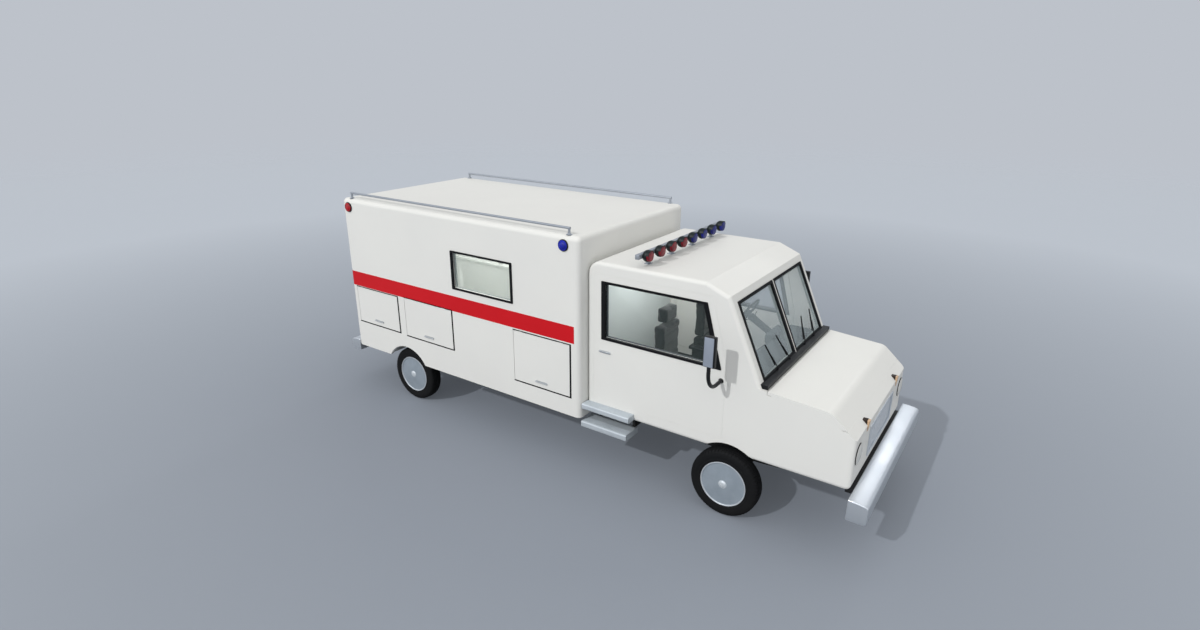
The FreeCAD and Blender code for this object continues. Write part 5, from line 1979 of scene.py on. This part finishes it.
    @staticmethod
    def pulled(share: Sequence[float], half: Vector) -> Vector:
        """A grid point's place from the box's middle, pulled in between the rounded corners.

        Args:
            share: How far out it is along each axis, from -1 to 1.
            half: Half the box's size.

        Returns:
            The place.
        """
        point = Vector((0, 0, 0))
        for k in range(3):
            others = [share[j] ** 2 for j in range(3) if j != k]
            point[k] = share[k] * half[k] * (1.0 - 0.05 * (others[0] ** 3 + others[1] ** 3)
                                             - 0.02 * abs(share[k]) * (2 - others[0] - others[1]))
        return point

    def blown(self, data: bpy.types.Mesh) -> bpy.types.Mesh:
        """Run the cloth simulation on a pad.

        Args:
            data: The slack pad.

        Returns:
            The filled pad, with the same vertices in the same order.
        """
        pad, scene = placed("pad", data), bpy.context.scene
        cloth = pad.modifiers.new("cloth", "CLOTH")
        for name, value in self.filling:
            setattr(cloth.settings, name, value)
        cloth.settings.effector_weights.gravity = 0.0
        cloth.collision_settings.use_collision = False
        cloth.point_cache.frame_start, cloth.point_cache.frame_end = 1, self.frames
        for step in range(1, self.frames + 1):
            scene.frame_set(step)
        filled = settled(pad)
        scene.frame_set(1)
        return filled

    def seat_base(self, side: Side) -> None:
        """The box under a seat, its pan and the headrest's posts.

        Args:
            side: The side it is on.
        """
        y, label = side.y(self.seat_y), side.label
        base = Shape("seat_base_" + label)
        for rear, front, half, foot, top in self.seat_boxes:
            base.block((rear, y - half, foot), (front, y + half, top), 0.012)
        base.piece(BLACK_PLASTIC)
        posts, (x, spread, foot, top) = Shape("headrest_posts_" + label), self.posts
        for end in (-spread, spread):
            posts.tube([Vector((x, y + end, z)) for z in (foot, top)], 0.006, sides=10)
        posts.piece(CHROME)

    def column(self) -> None:
        """The shroud over the steering column, with its two stalks."""
        hub, axis = Vector(self.hub), self.axis
        shroud = Shape("steering_column")
        shroud.lathe(hub, axis, [
            (-0.450, 0.0), (-0.450, 0.040), (-0.160, 0.042), (-0.070, 0.046), (-0.050, 0.044), (-0.042, 0.036),
            (-0.042, 0.0)], segments=32)
        for way in (-1.0, 1.0):
            root = hub - axis * 0.085 + Vector((0, way * 0.040, 0))
            shroud.tube([root, root + Vector((-0.010, way * 0.070, 0.012)),
                         root + Vector((-0.024, way * 0.130, 0.020))], [0.006, 0.0055, 0.007], sides=10)
        shroud.piece(BLACK_PLASTIC)

    def rear_lining(self) -> None:
        """The trim panel on the wall behind the seats."""
        x, span = self.lining
        Shape("cab_rear_lining").slab(
            Plane.end(x, 1.0), rectangle(*span), 0.0, 0.004, 0.002, corner=0.060).piece(CAB_LINING)

    def ceiling_lamps(self) -> None:
        """Flat ceiling lamps over the cab and along the box."""
        for name, outline, z in self.lamps:
            Shape(name).slab(Plane.level(z, -1.0), rectangle(*outline), 0.0, 0.022, 0.008,
                             corner=0.030).piece(LIGHT_PANEL)

    def instruments(self) -> None:
        """Two dials under a hood, in front of the driver."""
        y = self.seat_y
        Shape("instrument_hood").block((2.035, y - 0.190, 1.430), (2.150, y + 0.190, 1.545),
                                       0.018).piece(DASH_PLASTIC)
        rings, faces = Shape("dial_rings"), Shape("dial_faces")
        for off in (-self.dial_spacing, self.dial_spacing):
            at = (self.dash_face, y + off, self.dial_z)
            rings.lathe(at, (-1, 0, 0), [(0, 0.040), (0, 0.046), (0.005, 0.046), (0.005, 0.040), (0.0, 0.040)],
                        segments=36)
            faces.lathe(at, (-1, 0, 0), [(0, 0), (0, 0.040), (0.002, 0.039), (0.002, 0.0)], segments=36)
        rings.piece(CHROME)
        faces.piece(LENS_CLEAR)

    def dash_vents(self) -> None:
        """Slatted air vents along the dashboard."""
        face, vents = Plane.end(self.dash_face, -1.0), Shape("dash_vents")
        for y in self.vents:
            vents.slab(face, rectangle(y - 0.060, y + 0.060, 1.365, 1.415), -0.012, 0.004, 0.002, corner=0.006)
            for k in range(4):
                z = 1.372 + k * 0.011
                vents.slab(face, rectangle(y - 0.053, y + 0.053, z, z + 0.004), 0.002, 0.008, 0.001)
        vents.piece(BLACK_PLASTIC)

    def controls(self) -> None:
        """The gear lever in its boot, and three pedals."""
        lever = Shape("gear_lever")
        lever.tube([Vector((1.760, 0.02, 0.766)), Vector((1.740, 0.02, 1.000)), Vector((1.660, 0.03, 1.190))],
                   0.009)
        lever.lathe((1.660, 0.03, 1.180), (-0.35, 0.05, 0.93), [
            (0, 0), (0.0, 0.014), (0.012, 0.022), (0.030, 0.024), (0.042, 0.018), (0.047, 0.0)], segments=24)
        lever.lathe((1.762, 0.02, 0.766), (-0.05, 0, 1), [
            (0, 0), (0, 0.060), (0.030, 0.045), (0.070, 0.022), (0.090, 0.012), (0.090, 0)], segments=24)
        lever.piece(BLACK_PLASTIC)
        pedals = Shape("pedals")
        for off, width in self.pedals:
            y = self.seat_y + off
            pedals.block((2.120, y - width, 0.860), (2.138, y + width, 0.940), 0.005)
            pedals.tube([Vector((2.136, y, 0.915)), Vector((2.230, y, 1.060)), Vector((2.278, y, 1.160))], 0.008,
                        sides=8)
        pedals.piece(BLACK_PLASTIC)

    def wheel(self) -> None:
        """The steering wheel: a grip ring, three flat spokes and a padded hub."""
        hub, axis, across = Vector(self.hub), self.axis, Vector((0, 1, 0))
        down = axis.cross(across)
        down = down if down.z < 0 else -down
        loops = []
        for k in range(72):
            turn = math.tau * k / 72
            spoke = across * math.cos(turn) + down * math.sin(turn)
            thick = 0.0135 + 0.0012 * math.cos(turn * 36)
            loops.append([hub + spoke * (self.grip_radius + thick * math.cos(t)) + axis * thick * math.sin(t)
                          for t in (math.tau * j / 12 for j in range(12))])
        Shape("steering_wheel_ring").rings(loops, closed=True).piece(
            BLACK_PLASTIC, "steering_wheel", replaces=["steering_wheel"])
        centre = Shape("steering_wheel_hub")
        centre.lathe(hub, axis, [
            (-0.029, 0), (-0.029, 0.040), (-0.010, 0.050), (0.008, 0.050), (0.015, 0.042), (0.018, 0.0)],
            segments=36)
        for spoke in (across, -across, down):
            width, deep = axis.cross(spoke) * 0.016, axis * 0.004
            loops = []
            for reach, lift in ((0.040, 0.0), (0.120, -0.004), (0.195, 0.0)):
                point = hub + spoke * reach + axis * lift
                loops.append([point + width + deep, point - width + deep, point - width - deep,
                              point + width - deep])
            centre.rings(loops)
        centre.piece(DASH_PLASTIC, "steering_wheel")


@dataclass
class Steps:
    """Raised ribs along the side steps."""

    ribs: int = 5
    treads: tuple[tuple[float, ...], ...] = (
        (0.500, 1.090, 1.014, 1.096, 0.803), (0.490, 1.066, 1.014, 1.096, 0.580))

    def build(self) -> None:
        """Make the ribs of both steps on each side."""
        ribs = Shape("step_ribs")
        for x0, x1, y0, y1, z in self.treads:
            level = Plane.level(z)
            for k in range(self.ribs):
                y = -(y0 + (y1 - y0) * k / (self.ribs - 1))
                ribs.slab(level, rectangle(x0, x1, y - 0.003, y + 0.003), -0.001, 0.0025, 0.001)
        ribs.mirrored().piece(STEP_METAL)


def main() -> None:
    """Build every sub-assembly."""
    logging.basicConfig(level=logging.INFO, format="%(name)s: %(message)s")
    assemblies = [Studio(), PaintShop(), BoxTrim(), LockerTrim(), RearTrim(), RoofGear(), CabTrim(), Nose(),
                  Bumpers(), Cabin(), Steps()]
    assemblies += [Wheel(place, side) for place in ("front", "rear") for side in Side]
    for assembly in assemblies:
        LOG.info("building %s", type(assembly).__name__)
        assembly.build()


if __name__ == "__main__":
    main()
